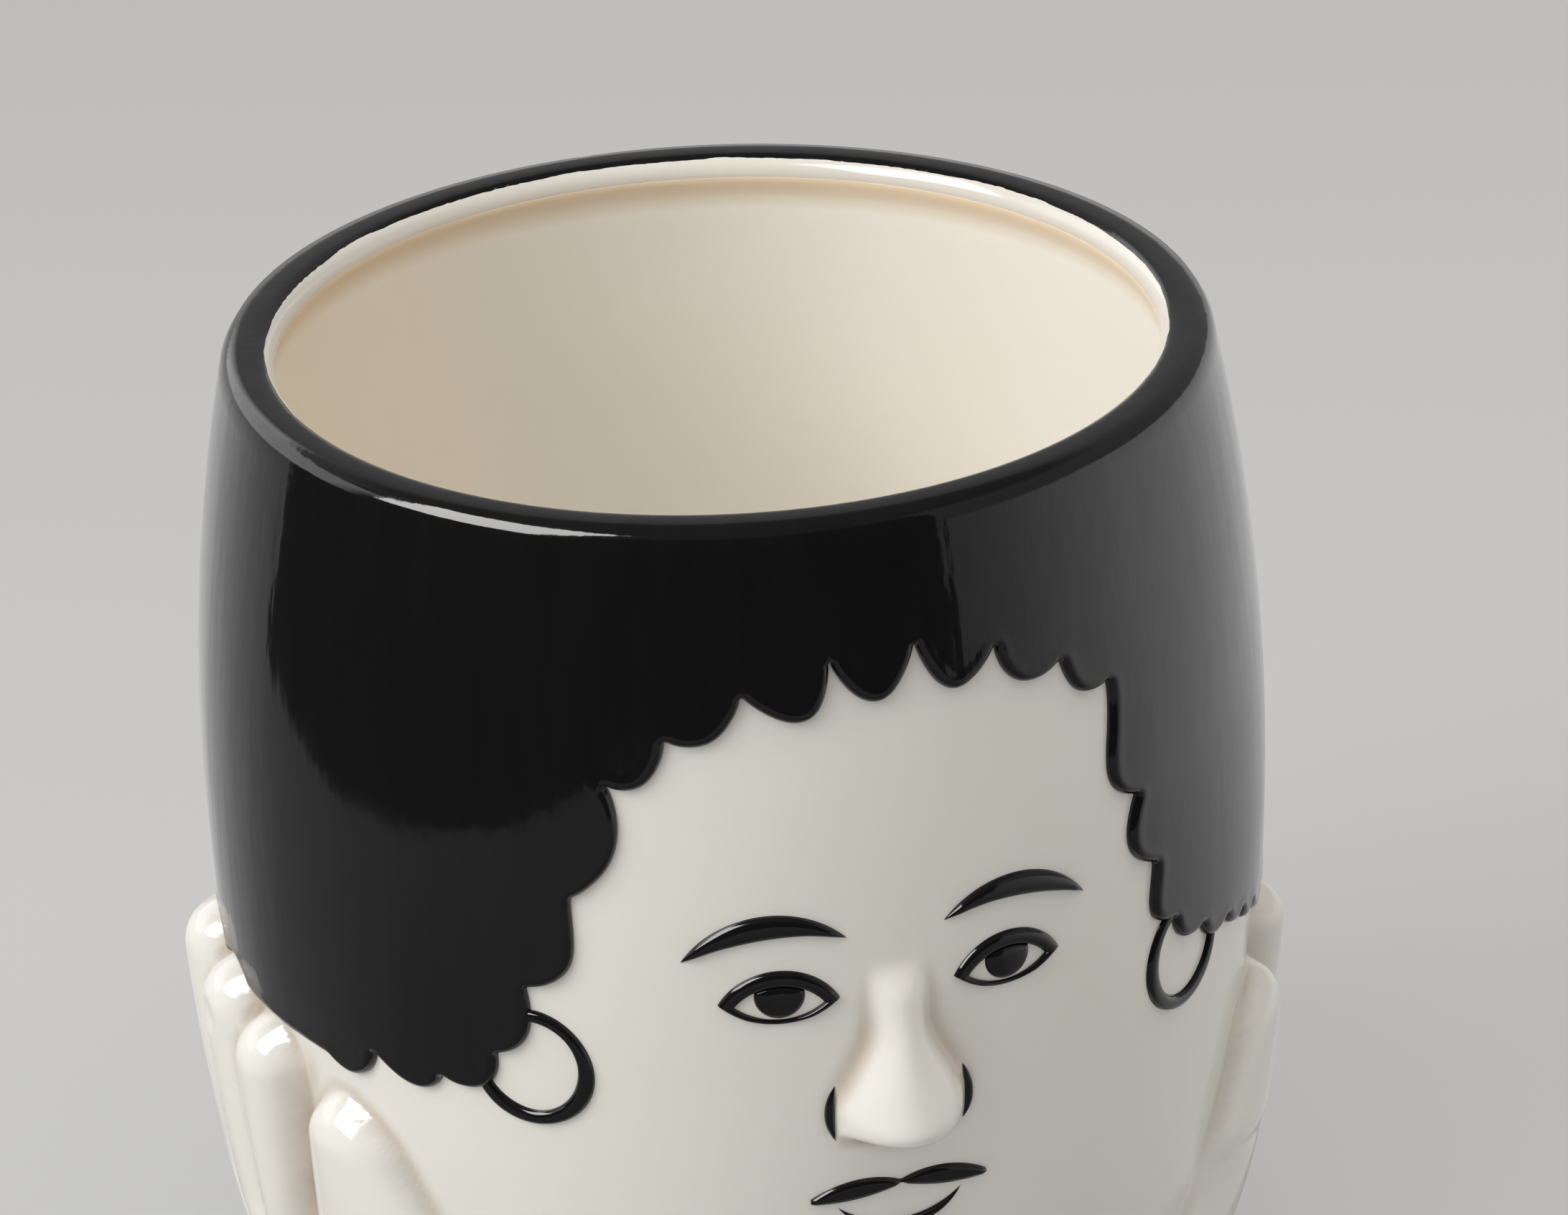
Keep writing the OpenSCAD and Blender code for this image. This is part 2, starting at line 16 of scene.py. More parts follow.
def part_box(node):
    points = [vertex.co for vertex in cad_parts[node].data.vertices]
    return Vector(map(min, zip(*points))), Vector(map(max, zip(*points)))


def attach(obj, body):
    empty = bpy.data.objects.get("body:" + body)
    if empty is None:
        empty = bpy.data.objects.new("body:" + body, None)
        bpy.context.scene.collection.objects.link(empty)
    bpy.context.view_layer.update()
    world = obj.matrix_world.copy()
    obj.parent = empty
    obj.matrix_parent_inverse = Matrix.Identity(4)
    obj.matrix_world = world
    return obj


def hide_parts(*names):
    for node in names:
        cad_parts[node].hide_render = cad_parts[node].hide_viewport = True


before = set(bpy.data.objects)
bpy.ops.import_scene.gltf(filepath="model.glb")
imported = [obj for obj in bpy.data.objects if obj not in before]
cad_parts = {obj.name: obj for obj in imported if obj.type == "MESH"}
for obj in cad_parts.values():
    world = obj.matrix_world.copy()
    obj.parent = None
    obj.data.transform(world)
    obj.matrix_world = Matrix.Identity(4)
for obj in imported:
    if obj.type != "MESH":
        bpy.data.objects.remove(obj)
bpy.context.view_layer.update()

MM = 0.001
# The two sides, as sign of x and word in a name
SIDES = ((-1, "left"), (1, "right"))

# Sizes of the pot, as in the solids
BELLY_R = 79.0
BELLY_Z = 100.0
UPPER_ARC = 306.0
LOWER_ARC = 420.0
KNEE_Z = 38.0
KNEE_ARC = 62.0
WALL_T = 5.5
BASE_T = 6.0
GLAZE_T = 0.8
LIP_W = 6.4
BEAD_R = 3.0
EDGE_R = 2.4
FOOT_H = 4.0
DRAIN_R = 8.0
HAIR_T = 1.5
SEAT = 0.1
POT_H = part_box("hair_cap")[1].z / MM

UPPER_CX = BELLY_R - UPPER_ARC
LOWER_CX = BELLY_R - LOWER_ARC
KNEE_ANGLE = math.asin((BELLY_Z - KNEE_Z) / LOWER_ARC)
KNEE_CX = LOWER_CX + (LOWER_ARC - KNEE_ARC) * math.cos(KNEE_ANGLE)
KNEE_CZ = BELLY_Z - (LOWER_ARC - KNEE_ARC) * math.sin(KNEE_ANGLE)
FLOOR_Z = FOOT_H + BASE_T
# Length along the belly of one degree round the pot, and of half the way round
DEGREE = math.radians(BELLY_R)
HALF_TURN = 180 * DEGREE


def mix(a, b, t):
    """The value at a share t of the way from a to b."""
    return a + (b - a) * t


def bend(a, b, c, t):
    """The value at a share t along a curve from a to c that first heads for b."""
    return mix(mix(a, b, t), mix(b, c, t), t)


def ease(t):
    """A smooth step that goes from 0 to 1 as t does."""
    t = np.clip(t, 0, 1)
    return t * t * (3 - 2 * t)


def dome(t):
    """Height of a round dome at a share t of the way from its middle to its foot."""
    return np.sqrt(np.maximum(0, 1 - t * t))


def wall(z, lift=0.0):
    """Radius and height of the point that lies lift beyond the wall at height z."""
    z = np.asarray(z, float)
    on_knee = z < KNEE_Z
    cx = np.where(z > BELLY_Z, UPPER_CX, np.where(on_knee, KNEE_CX, LOWER_CX))
    cz = np.where(on_knee, KNEE_CZ, BELLY_Z)
    arc = np.where(z > BELLY_Z, UPPER_ARC, np.where(on_knee, KNEE_ARC, LOWER_ARC))
    out = np.sqrt(arc**2 - (z - cz) ** 2)
    return cx + out + lift * out / arc, z + lift * (z - cz) / arc


def around(angle, r, z):
    """Points at an angle round the pot, a distance from its axis and a height."""
    a, r, z = np.broadcast_arrays(np.radians(angle), r, z)
    return np.stack([r * np.sin(a), -r * np.cos(a), z], axis=-1)


def revolve(angles, profile):
    """Rows of points, one round the pot for each point of a profile."""
    return np.stack([around(angles, r, z) for r, z in profile])


# The lip's bead, and how far the white glaze on it lies under the black band
LIP_IN_R = float(wall(POT_H - HAIR_T)[0]) - LIP_W
BEAD_CX = LIP_IN_R + BEAD_R
BEAD_CZ = POT_H - BEAD_R
PAINT_T = 0.15


# The hands, in bands between lines that run down the hand: thumb, cleft and four fingers
CLEFT, FIRST_FINGER, LAST_FINGER = 1, 2, 5
# Radius of a fingertip, which is half the width of a finger
FINGER_R = 6.9
FINGER_H = 7.0
THUMB_H = 6.0
PALM_H = 4.6
BAND_HEIGHTS = [THUMB_H, 0.0, FINGER_H, FINGER_H, FINGER_H, FINGER_H]
# Widths of the bands, as parts of the palm
BAND_PARTS = [9, 2, 7, 7, 7, 7]
HEEL_Z = 9.0
HEEL_RISE = 2.5 * FINGER_R
HAIR_DROP = 92.0
HAIR_Z = POT_H - HAIR_DROP
LEFT_THUMB_DROP = 7.0
RIGHT_THUMB_DROP = 12.5
THUMB_Z = HAIR_Z - LEFT_THUMB_DROP
KNUCKLE_Z = mix(HEEL_Z, THUMB_Z, 0.52)
# Angles of the lines between the bands at the thumb's tip, the knuckles and the heel
LINE_HIGH_ANGLES = [60, 70, 73.5, 83.5, 93.5, 103.5, 113.5]
LINE_MID_ANGLES = [48, 74, 75, 83.5, 93.5, 103.5, 112.5]
LINE_LOW_ANGLES = [31, 53.5, 56.5, 64.5, 72.5, 80.5, 88.5]
# How far each fingertip rises above the hair's edge, as a share of a finger's width
TIP_RISE_SHARES = [0, 0, -0.11, 0.14, 0.36, -0.09]
# The right hand sits lower: its heights are this share of the left hand's
RIGHT_SHARE = (HAIR_Z - RIGHT_THUMB_DROP - HEEL_Z) / (THUMB_Z - HEEL_Z)
# A nail's imprint on the middle finger: its place below the tip, its radius and its depth, its
# reach in radii, and how steeply and by what share of the depth its middle rises again
NAIL_FINGER = 3
NAIL_DROP = 7.6
NAIL_R = 2.0
NAIL_T = 0.8
NAIL_REACH = 1.5
NAIL_RISE = 1.4
NAIL_FILL = 0.55
# Share of its round dome that a finger shows before it ends: at the heel, beside another
# finger, and beside the wall or the cleft
HEEL_CREASE, SHALLOW_CREASE, DEEP_CREASE = 0.45, 0.9, 0.985


def tip_z(k, side=-1):
    """Height of the tip of a band, on the left hand or on the lower right one."""
    z = THUMB_Z if k < CLEFT else HAIR_Z + TIP_RISE_SHARES[k] * 2 * FINGER_R
    return z if side < 0 else HEEL_Z + RIGHT_SHARE * (z - HEEL_Z)


def as_on_left(angle, z):
    """Height on the left hand of what has height z at an angle, on either hand."""
    return np.where(angle > 0, HEEL_Z + (z - HEEL_Z) / RIGHT_SHARE, z)


def line_angle(k, z):
    """Angle at height z of the line at which band k starts. The lines bend at the knuckles."""
    up = np.clip((z - KNUCKLE_Z) / (THUMB_Z - KNUCKLE_Z), 0, 1)
    high = mix(LINE_MID_ANGLES[k], LINE_HIGH_ANGLES[k], up)
    up = ease((z - HEEL_Z) / (KNUCKLE_Z - HEEL_Z))
    low = mix(LINE_LOW_ANGLES[k], LINE_MID_ANGLES[k], up)
    return np.where(z > KNUCKLE_Z, high, low)


def hand_height(angle, z):
    """Height of a hand above the wall: fingers with domed tips and a palm that carries them."""
    z = as_on_left(angle, z)
    angle = np.abs(angle)
    height = np.zeros_like(z)
    rise = ease((z - HEEL_Z) / HEEL_RISE)
    low_part = ease((KNUCKLE_Z + FINGER_R - z) / (2 * FINGER_R))
    apart = ease((z - HEEL_Z) / (KNUCKLE_Z - HEEL_Z))
    above_knuckle = ease((z - KNUCKLE_Z) / FINGER_R)
    for k, parts in enumerate(BAND_PARTS):
        left, right = line_angle(k, z), line_angle(k + 1, z)
        q = 2 * (angle - left) / (right - left) - 1
        inside = (np.abs(q) <= 1) & (z > HEEL_Z)
        share = (sum(BAND_PARTS[:k]) + (q + 1) / 2 * parts) / sum(BAND_PARTS)
        palm = PALM_H * dome(np.abs(2 * share - 1) ** 1.5) * low_part
        edge = dome(np.abs(2 * share - 1) ** 3)
        past_tip = np.maximum(0, z - tip_z(k) + FINGER_R) / FINGER_R
        shallow = (q < 0) & (k > FIRST_FINGER) | (q > 0) & (CLEFT < k < LAST_FINGER)
        crease = mix(HEEL_CREASE, np.where(shallow, SHALLOW_CREASE, DEEP_CREASE), apart)
        finger = BAND_HEIGHTS[k] * dome(np.hypot(crease * q, past_tip))
        if k == NAIL_FINGER:
            off = np.hypot(q * FINGER_R, z - tip_z(k) + NAIL_DROP) / NAIL_R
            dent = ease(NAIL_REACH - off) - NAIL_FILL * ease(1 - NAIL_RISE * off)
            finger = finger - NAIL_T * dent
        band = rise * np.maximum(palm, finger * mix(edge, 1, above_knuckle))
        height = np.where(inside, np.maximum(height, band), height)
    return height


# The face stands on three equal thirds: hairline to brow, brow to nose, nose to chin
THIRD_H = 31.0
EYE_W = 17.0
EYE_X = EYE_W
FACE_LEFT_W = 0.483 * BELLY_R
FACE_RIGHT_W = 0.45 * BELLY_R
FACE_HALF_W = (FACE_LEFT_W + FACE_RIGHT_W) / 2
FRINGE_DROP = 19.0
FRINGE_ARCH = 16.0
FRINGE_SLOPE = 4.0
FRINGE_CURLS = 7
CURL_PITCH = 2 * FACE_HALF_W / FRINGE_CURLS
BROW_Z = POT_H - FRINGE_DROP - FRINGE_ARCH / 2 - CURL_PITCH / 2 - THIRD_H
NOSE_Z = BROW_Z - THIRD_H
MOUTH_Z = NOSE_Z - THIRD_H / 3
EYE_Z = BROW_Z - 0.26 * THIRD_H
# The nose: its height, the share of it at the root and the place of its tip along it
NOSE_H = 10.0
NOSE_ROOT_Z = BROW_Z - 0.1 * THIRD_H
NOSE_ROOT_SHARE = 0.22
NOSE_TIP_SHARE = 0.84
NOSE_END_ANGLE = 20
# Half widths of the nose at the root and the wings, as shares of an eye's width
ROOT_W_SHARE, WINGS_W_SHARE = 0.24, 0.54
# A wing of the nose: its height as a share of the nose's, its middle and half length along the
# nose, and its middle and half width as shares of the nose's half width
WING_H_SHARE = 0.46
WING_ALONG_SHARE, WING_LENGTH_SHARE = 0.86, 0.15
WING_OUT_SHARE, WING_W_SHARE = 0.66, 0.36
# How far the glaze softens an edge
GLAZE_SOFT = 0.55


def nose_half_w(t):
    """Half width of the nose at a share t of its length, counted from the root."""
    return EYE_W * mix(ROOT_W_SHARE, WINGS_W_SHARE, ease((t - 0.35) / 0.5))


def nose_height(angle, z):
    """Height of the nose above the wall: a ridge to its tip, with a wing at each side."""
    t = np.clip((NOSE_ROOT_Z - z) / (NOSE_ROOT_Z - NOSE_Z), 0, 1)
    q = BELLY_R * np.sin(np.radians(angle)) / nose_half_w(t)
    ridge = NOSE_H * mix(NOSE_ROOT_SHARE, 1, (t / NOSE_TIP_SHARE) ** 1.4) * ease(t / 0.2)
    ridge = ridge * dome(np.maximum(0, t - NOSE_TIP_SHARE) / (1 - NOSE_TIP_SHARE))
    along = np.clip(np.abs(t - WING_ALONG_SHARE) / WING_LENGTH_SHARE, 0, 1)
    across = np.clip(np.abs(np.abs(q) - WING_OUT_SHARE) / WING_W_SHARE, 0, 1)
    wing = WING_H_SHARE * NOSE_H * dome(along) * dome(across)
    height = np.maximum(ridge * np.maximum(0, 1 - q * q) ** 0.8, wing)
    return np.where((np.abs(angle) < NOSE_END_ANGLE) & (t > 0) & (t < 1), height, 0)


def relief(angle, z, soft=GLAZE_SOFT):
    """Height of hands and nose above the wall, softened over two steps of the length soft."""
    total, weight = 0, 0
    for i in range(-2, 3):
        for j in range(-2, 3):
            w = math.exp(-(i * i + j * j) / 2.0)
            a, h = angle + i * soft / DEGREE, z + j * soft
            total = total + w * (hand_height(a, h) + nose_height(a, h))
            weight += w
    return total / weight


def on_face(x, z, lift):
    """Points lift beyond the glazed face, placed as seen from the front."""
    angle = np.degrees(np.arcsin(x / wall(z)[0]))
    r, up = wall(z, lift + relief(angle, z))
    return around(angle, r, up)


def on_wall(s, z, lift):
    """Points lift beyond the bare wall, placed by the length s round the belly."""
    r, up = wall(z, lift)
    return around(s / DEGREE, r, up)


def grid_faces(rows, cols, wrap_rows=False, wrap_cols=False):
    """Four-sided faces between the points of a grid, which can close on itself either way."""
    r = np.arange(rows if wrap_rows else rows - 1)[:, None]
    c = np.arange(cols if wrap_cols else cols - 1)[None, :]
    r2, c2 = (r + 1) % rows, (c + 1) % cols
    quads = np.stack([r * cols + c, r * cols + c2, r2 * cols + c2, r2 * cols + c], axis=-1)
    return quads.reshape(-1, 4).tolist()


def add_object(name, data):
    """A new object in the scene."""
    added = bpy.data.objects.new(name, data)
    bpy.context.scene.collection.objects.link(added)
    return added


def make_piece(name, points, faces, material, nodes):
    """A smooth mesh of points in millimetres that rides on the pot and stands for CAD nodes.
    Points that no face uses are left out."""
    mesh = bpy.data.meshes.new(name)
    mesh.from_pydata((np.asarray(points, float).reshape(-1, 3) * MM).tolist(), [], faces)
    work = bmesh.new()
    work.from_mesh(mesh)
    bmesh.ops.remove_doubles(work, verts=work.verts, dist=0.002 * MM)
    bmesh.ops.recalc_face_normals(work, faces=work.faces)
    loose = [v for v in work.verts if not v.link_faces]
    bmesh.ops.delete(work, geom=loose, context="VERTS")
    work.to_mesh(mesh)
    work.free()
    mesh.polygons.foreach_set("use_smooth", np.ones(len(mesh.polygons), bool))
    mesh.materials.append(material)
    piece = add_object(name, mesh)
    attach(piece, "pot")
    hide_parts(*nodes)
    return piece


def new_material(name):
    """A new material, its node tree and its shader."""
    material = bpy.data.materials.new(name)
    material.use_nodes = True
    return material, material.node_tree, material.node_tree.nodes["Principled BSDF"]


def feed(tree, node, values):
    """Gives inputs of a node their plain values, or links them to an output."""
    for key, value in values.items():
        if isinstance(value, bpy.types.NodeSocket):
            tree.links.new(value, node.inputs[key])
        else:
            node.inputs[key].default_value = value


def place_along(tree, axis):
    """The place of a point along an axis of its object."""
    split = tree.nodes.new("ShaderNodeSeparateXYZ")
    feed(tree, split, {"Vector": tree.nodes.new("ShaderNodeTexCoord").outputs["Object"]})
    return split.outputs[axis]


def noise(tree, scale, detail=2.0, stretch=(1, 1, 1)):
    """A noise texture in object space, stretched along the axes."""
    place = tree.nodes.new("ShaderNodeTexCoord").outputs["Object"]
    mapping = tree.nodes.new("ShaderNodeMapping")
    feed(tree, mapping, {"Vector": place, "Scale": stretch})
    texture = tree.nodes.new("ShaderNodeTexNoise")
    feed(tree, texture, {"Vector": mapping.outputs["Vector"], "Scale": scale, "Detail": detail})
    return texture.outputs["Fac"]


def ramp(tree, value, stops):
    """A colour ramp over value. The two stops are (place, colour)."""
    node = tree.nodes.new("ShaderNodeValToRGB")
    for element, (place, colour) in zip(node.color_ramp.elements, stops):
        element.position = place
        element.color = (*colour, 1)
    feed(tree, node, {"Fac": value})
    return node.outputs["Color"]


def map_range(tree, value, source=(0, 1), target=(0, 1), smooth=False):
    """A value moved from one range to another, in a straight line or eased."""
    node = tree.nodes.new("ShaderNodeMapRange")
    if smooth:
        node.interpolation_type = "SMOOTHSTEP"
    feed(tree, node, {"Value": value, "From Min": source[0], "From Max": source[1],
                      "To Min": target[0], "To Max": target[1]})
    return node.outputs["Result"]


def bumps(tree, layers):
    """Bump nodes in a chain. layers are (height value, depth in mm)."""
    normal = None
    for height, depth in layers:
        node = tree.nodes.new("ShaderNodeBump")
        feed(tree, node, {"Strength": 1, "Distance": depth * MM, "Height": height})
        if normal is not None:
            feed(tree, node, {"Normal": normal})
        normal = node.outputs["Normal"]
    return normal


def blend_colours(tree, a, b, factor, mode="MIX"):
    """One colour mixed with another. Each value is an output or a plain value."""
    node = tree.nodes.new("ShaderNodeMix")
    node.data_type = "RGBA"
    node.blend_type = mode
    feed(tree, node, {6: a, 7: b, 0: factor})
    return node.outputs[2]


# Colours of the glazes, and the two tones of the bare body and of the plug
WHITE, CLOUDED_WHITE = (0.77, 0.756, 0.718), (0.747, 0.731, 0.69)
# Pooled glaze and painted shade, which the white turns to in grooves and at the lip
POOLED_AND_SHADED = (0.472, 0.40, 0.312)
BLACK, STREAKED_BLACK = (0.0050, 0.0048, 0.0050), (0.0066, 0.0062, 0.0064)
# The cream, and the cream painted darker and warmer as shade on the left side inside
CREAM, SHADED_SIDE_CREAM = (0.94, 0.92, 0.87), (0.905, 0.805, 0.67)
# Pooled glaze and painted shade in a line under the lip inside, and a faint random mottle of the
# cream
UNDER_LIP_SHADE_TINT, CREAM_SHADE = (0.84, 0.71, 0.56), (0.985, 0.98, 0.97)
BODY = (0.62, 0.54, 0.44), (0.76, 0.69, 0.58)
RUBBER = (0.10, 0.10, 0.10), (0.14, 0.14, 0.137)
GLAZE_IOR = 1.5


def white_glaze():
    """Gloss white glaze with pooled glaze and painted shade in grooves and at the lip, and faint
    waves and clouds.
    """
    material, tree, shader = new_material("white_glaze")
    tone = ramp(tree, noise(tree, 22, 3), [(0.3, CLOUDED_WHITE), (0.7, WHITE)])
    # Pooled glaze and painted shade, by the groove value of each point
    groove = tree.nodes.new("ShaderNodeAttribute")
    groove.attribute_name = "groove"
    tone = blend_colours(tree, tone, (*POOLED_AND_SHADED, 1), groove.outputs["Fac"])
    normal = bumps(tree, [(noise(tree, 45, 1), 0.10), (noise(tree, 900, 2), 0.0022)])
    feed(tree, shader, {"Base Color": tone, "Roughness": 0.11, "IOR": GLAZE_IOR, "Normal": normal})
    return material


def black_glaze():
    """Thick black glaze, brushed on in vertical strokes that fired to a gloss."""
    material, tree, shader = new_material("black_glaze")
    streaks = noise(tree, 260, 3, (1, 1, 0.06))
    tone = ramp(tree, streaks, [(0.3, BLACK), (0.75, STREAKED_BLACK)])
    rough = map_range(tree, noise(tree, 160, 3, (1, 1, 0.12)), target=(0.04, 0.12))
    normal = bumps(tree, [
        (noise(tree, 38, 2), 0.10),
        (noise(tree, 130, 3, (1, 1, 0.4)), 0.07),
        (streaks, 0.055),
        (noise(tree, 900, 2), 0.002),
    ])
    feed(tree, shader, {"Base Color": tone, "Roughness": rough, "IOR": GLAZE_IOR, "Normal": normal})
    return material


def cream_glaze():
    """Satin cream glaze inside: a warm line of pooled glaze and painted shade under the lip, then
    cream with painted shade that makes it darker and warmer on the left side."""
    material, tree, shader = new_material("cream_glaze")
    level = map_range(tree, place_along(tree, "Z"), ((POT_H - 24) * MM, POT_H * MM))
    # Painted shade: the cream darkens and warms towards the left side
    shaded_span = -0.85 * BELLY_R * MM, 0.05 * BELLY_R * MM
    shaded_side = map_range(tree, place_along(tree, "X"), shaded_span, smooth=True)
    tone = ramp(tree, shaded_side, [(0.0, SHADED_SIDE_CREAM), (1.0, CREAM)])
    # Pooled glaze and painted shade: a warm darker line along the top of the lining, under the lip
    line = ramp(tree, level, [(0.62, (1, 1, 1)), (0.81, UNDER_LIP_SHADE_TINT)])
    shade = ramp(tree, noise(tree, 30, 3), [(0.3, CREAM_SHADE), (0.7, (1, 1, 1))])
    for tint in (line, shade):
        tone = blend_colours(tree, tone, tint, 1.0, "MULTIPLY")
    normal = bumps(tree, [(noise(tree, 40, 2), 0.12), (noise(tree, 700, 2), 0.004)])
    feed(tree, shader, {"Base Color": tone, "Roughness": 0.28, "Normal": normal})
    return material


def grained(name, tones, clouds, roughness, grain, depth):
    """A dull material that varies between two tones, with a fine grain. depth is in mm."""
    material, tree, shader = new_material(name)
    tone = ramp(tree, noise(tree, *clouds), [(0.3, tones[0]), (0.7, tones[1])])
    normal = bumps(tree, [(noise(tree, *grain), depth)])
    feed(tree, shader, {"Base Color": tone, "Roughness": roughness, "Normal": normal})
    return material


# Strength and half width of the pooled glaze and painted shade in the cleft beside the thumb
CLEFT_POOL_AND_SHADE = 0.55
CLEFT_HALF_W = 2.4
# Pooled glaze and painted shade in the other grooves: the length over which a groove is felt, the
# depth that it's measured by and the share below which nothing shows
POOL_SHADE_SOFT = 2.4
POOL_SHADE_DEPTH = 1.5
POOL_SHADE_START = 0.12
# Pooled glaze and painted shade on the lip and below it, the depth at which it changes and the
# height over which
LIP_POOL_AND_SHADE, UNDER_LIP_POOL_AND_SHADE = 0.2, 0.34
LIP_POOL_SHADE_DROP, LIP_POOL_SHADE_H = 1.8, 1.4
# Columns of the skin, in degrees: fine over the nose and the hands, and coarse between
NOSE_END, HAND_START, HAND_END = 10.0, 26.0, 113.0
FINE, COARSE = 0.5, 2.0
# Rows of the skin up the wall: from, to and step where hands and nose are, and the count above
SKIN_LOW_Z, SKIN_RELIEF_Z, SKIN_STEP = 5.0, 114.0, 0.7
SKIN_HIGH_ROWS = 20
# Corner between the base and the wall, as steps in from the wall and up from the base
FOOT_CORNER = [(1.6, 0), (0.7, 0.15), (0.1, 0.5)]
# The hollow under the bead, as steps out from the lip's inside and down from the rim
UNDER_BEAD = [(1.55, 6.3), (2.2, 7.2)]


def cleft_pool_and_shade(angle, z):
    """How much pooled glaze and painted shade lies in the cleft between the thumb and the first
    finger.
    """
    z = as_on_left(angle, z)
    middle = (line_angle(CLEFT, z) + line_angle(CLEFT + 1, z)) / 2
    off = (np.abs(angle) - middle) * DEGREE
    depth = ease((z - KNUCKLE_Z + 2 * FINGER_R) / (2 * FINGER_R)) * ease((HAIR_Z + 1 - z) / 9)
    return CLEFT_POOL_AND_SHADE * depth * np.exp(-((off / CLEFT_HALF_W) ** 2))


def body_profile():
    """The body's profile from the drain to the wall, and from there over the lip and back."""
    low = float(wall(FOOT_H)[0])
    before = [(DRAIN_R, FOOT_H + 0.6), (DRAIN_R + 0.6, FOOT_H)]
    before += [(low - step, FOOT_H + up) for step, up in FOOT_CORNER]
    after = [(float(wall(POT_H - 2)[0]) - 0.8, POT_H - HAIR_T)]
    after += [(BEAD_CX + BEAD_R * math.cos(t), BEAD_CZ - PAINT_T + BEAD_R * math.sin(t))
              for t in np.radians(np.arange(60, 226, 7.5))]
    after += [(LIP_IN_R + step, POT_H - down) for step, down in UNDER_BEAD]
    inner_r, inner_z = wall(np.linspace(POT_H - 9, FLOOR_Z + 12, 24), -WALL_T)
    after += list(zip(inner_r, inner_z))
    after += [(inner_r[-1] - 6, FLOOR_Z + 3), (inner_r[-1] - 12, FLOOR_Z)]
    after += [(DRAIN_R + 0.5, FLOOR_Z), (DRAIN_R, FLOOR_Z - 0.5)]
    return before, after


def pot_body(material):
    """The cast body with hands and nose in one skin, from the foot over the lip to the base."""
    side = np.concatenate([
        np.arange(NOSE_END + COARSE, HAND_START, COARSE),
        np.arange(HAND_START, HAND_END, FINE),
        np.arange(HAND_END, 180.0, COARSE),
    ])
    front = np.arange(-NOSE_END, NOSE_END + 0.01, FINE)
    angles = np.concatenate([-side[::-1], front, side])
    heights = np.concatenate([np.arange(SKIN_LOW_Z, SKIN_RELIEF_Z, SKIN_STEP),
                              np.linspace(SKIN_RELIEF_Z + 1, POT_H - 2, SKIN_HIGH_ROWS)])
    angle, z = np.meshgrid(angles, heights)
    raised = relief(angle, z)
    r, up = wall(z, raised)
    # Pooled glaze and painted shade where the relief falls into a groove, and in the cleft
    groove = np.clip((relief(angle, z, POOL_SHADE_SOFT) - raised) / POOL_SHADE_DEPTH - POOL_SHADE_START, 0, 1)
    groove = np.maximum(groove, cleft_pool_and_shade(angle, z))
    before, after = body_profile()
    points = np.concatenate([revolve(angles, before), around(angle, r, up), revolve(angles, after)])
    faces = grid_faces(len(points), len(angles), wrap_rows=True, wrap_cols=True)
    piece = make_piece("pot_body", points, faces, material,
                       ("pot_shell", "left_hand", "right_hand", "nose"))
    pool_and_shade = np.zeros(points.shape[:2])
    pool_and_shade[len(before):len(before) + len(heights)] = groove
    # Pooled glaze and painted shade on the lip, and more of both under it
    for row, (_, z) in enumerate(after, len(before) + len(heights)):
        under = ease((POT_H - LIP_POOL_SHADE_DROP - z) / LIP_POOL_SHADE_H)
        pool_and_shade[row] = mix(LIP_POOL_AND_SHADE, UNDER_LIP_POOL_AND_SHADE, under)
    attribute = piece.data.attributes.new("groove", "FLOAT", "POINT")
    attribute.data.foreach_set("value", pool_and_shade.ravel().astype(np.float32))


# The lining's top edge, seen and unseen, as steps out from the lip's inside and down from the
# rim, and the steps in from the wall over which it bends into the floor
LINING_TOP = [(0.10, 3.0), (-0.04, 3.5), (0.08, 4.3), (0.42, 5.2), (0.82, 6.2), (1.18, 7.2)]
LINING_BACK = [(1.9, 5.9), (1.0, 4.0)]
LINING_BEND, LINING_FLAT = 6, 14


def lining(material):
    """The cream glaze: a thin closed skin down the inside and over the floor to the drain."""
    angles = np.arange(0, 360, 1.5)
    r, z = wall(np.linspace(POT_H - 8, FLOOR_Z + 9, 70), -(WALL_T + SEAT + GLAZE_T))
    low_r, low_z = r[-1], z[-1]
    floor = FLOOR_Z + GLAZE_T
    front = [(LIP_IN_R + step, POT_H - down) for step, down in LINING_TOP]
    front += list(zip(r, z))
    knee = low_r, low_r - LINING_BEND, low_r - LINING_FLAT
    front += [(bend(*knee, t), bend(low_z, floor, floor, t)) for t in np.linspace(0.08, 1, 12)]
    front += [(p, floor) for p in np.linspace(front[-1][0] - 3, DRAIN_R + 2, 12)]
    front += [(DRAIN_R + 1.2, floor - 0.1), (DRAIN_R + GLAZE_T, floor - 0.35)]
    back = [(DRAIN_R + GLAZE_T, FLOOR_Z + SEAT), (low_r - LINING_FLAT, FLOOR_Z + SEAT),
            (low_r - 5, FLOOR_Z + 4)]
    back += list(zip(*wall(np.linspace(FLOOR_Z + 11, POT_H - 7, 20), -WALL_T - SEAT)))
    back += [(LIP_IN_R + step, POT_H - down) for step, down in LINING_BACK]
    rows = revolve(angles, front + back)
    faces = grid_faces(len(rows), len(angles), wrap_rows=True, wrap_cols=True)
    make_piece("cream_lining", rows, faces, material, ("interior_glaze",))


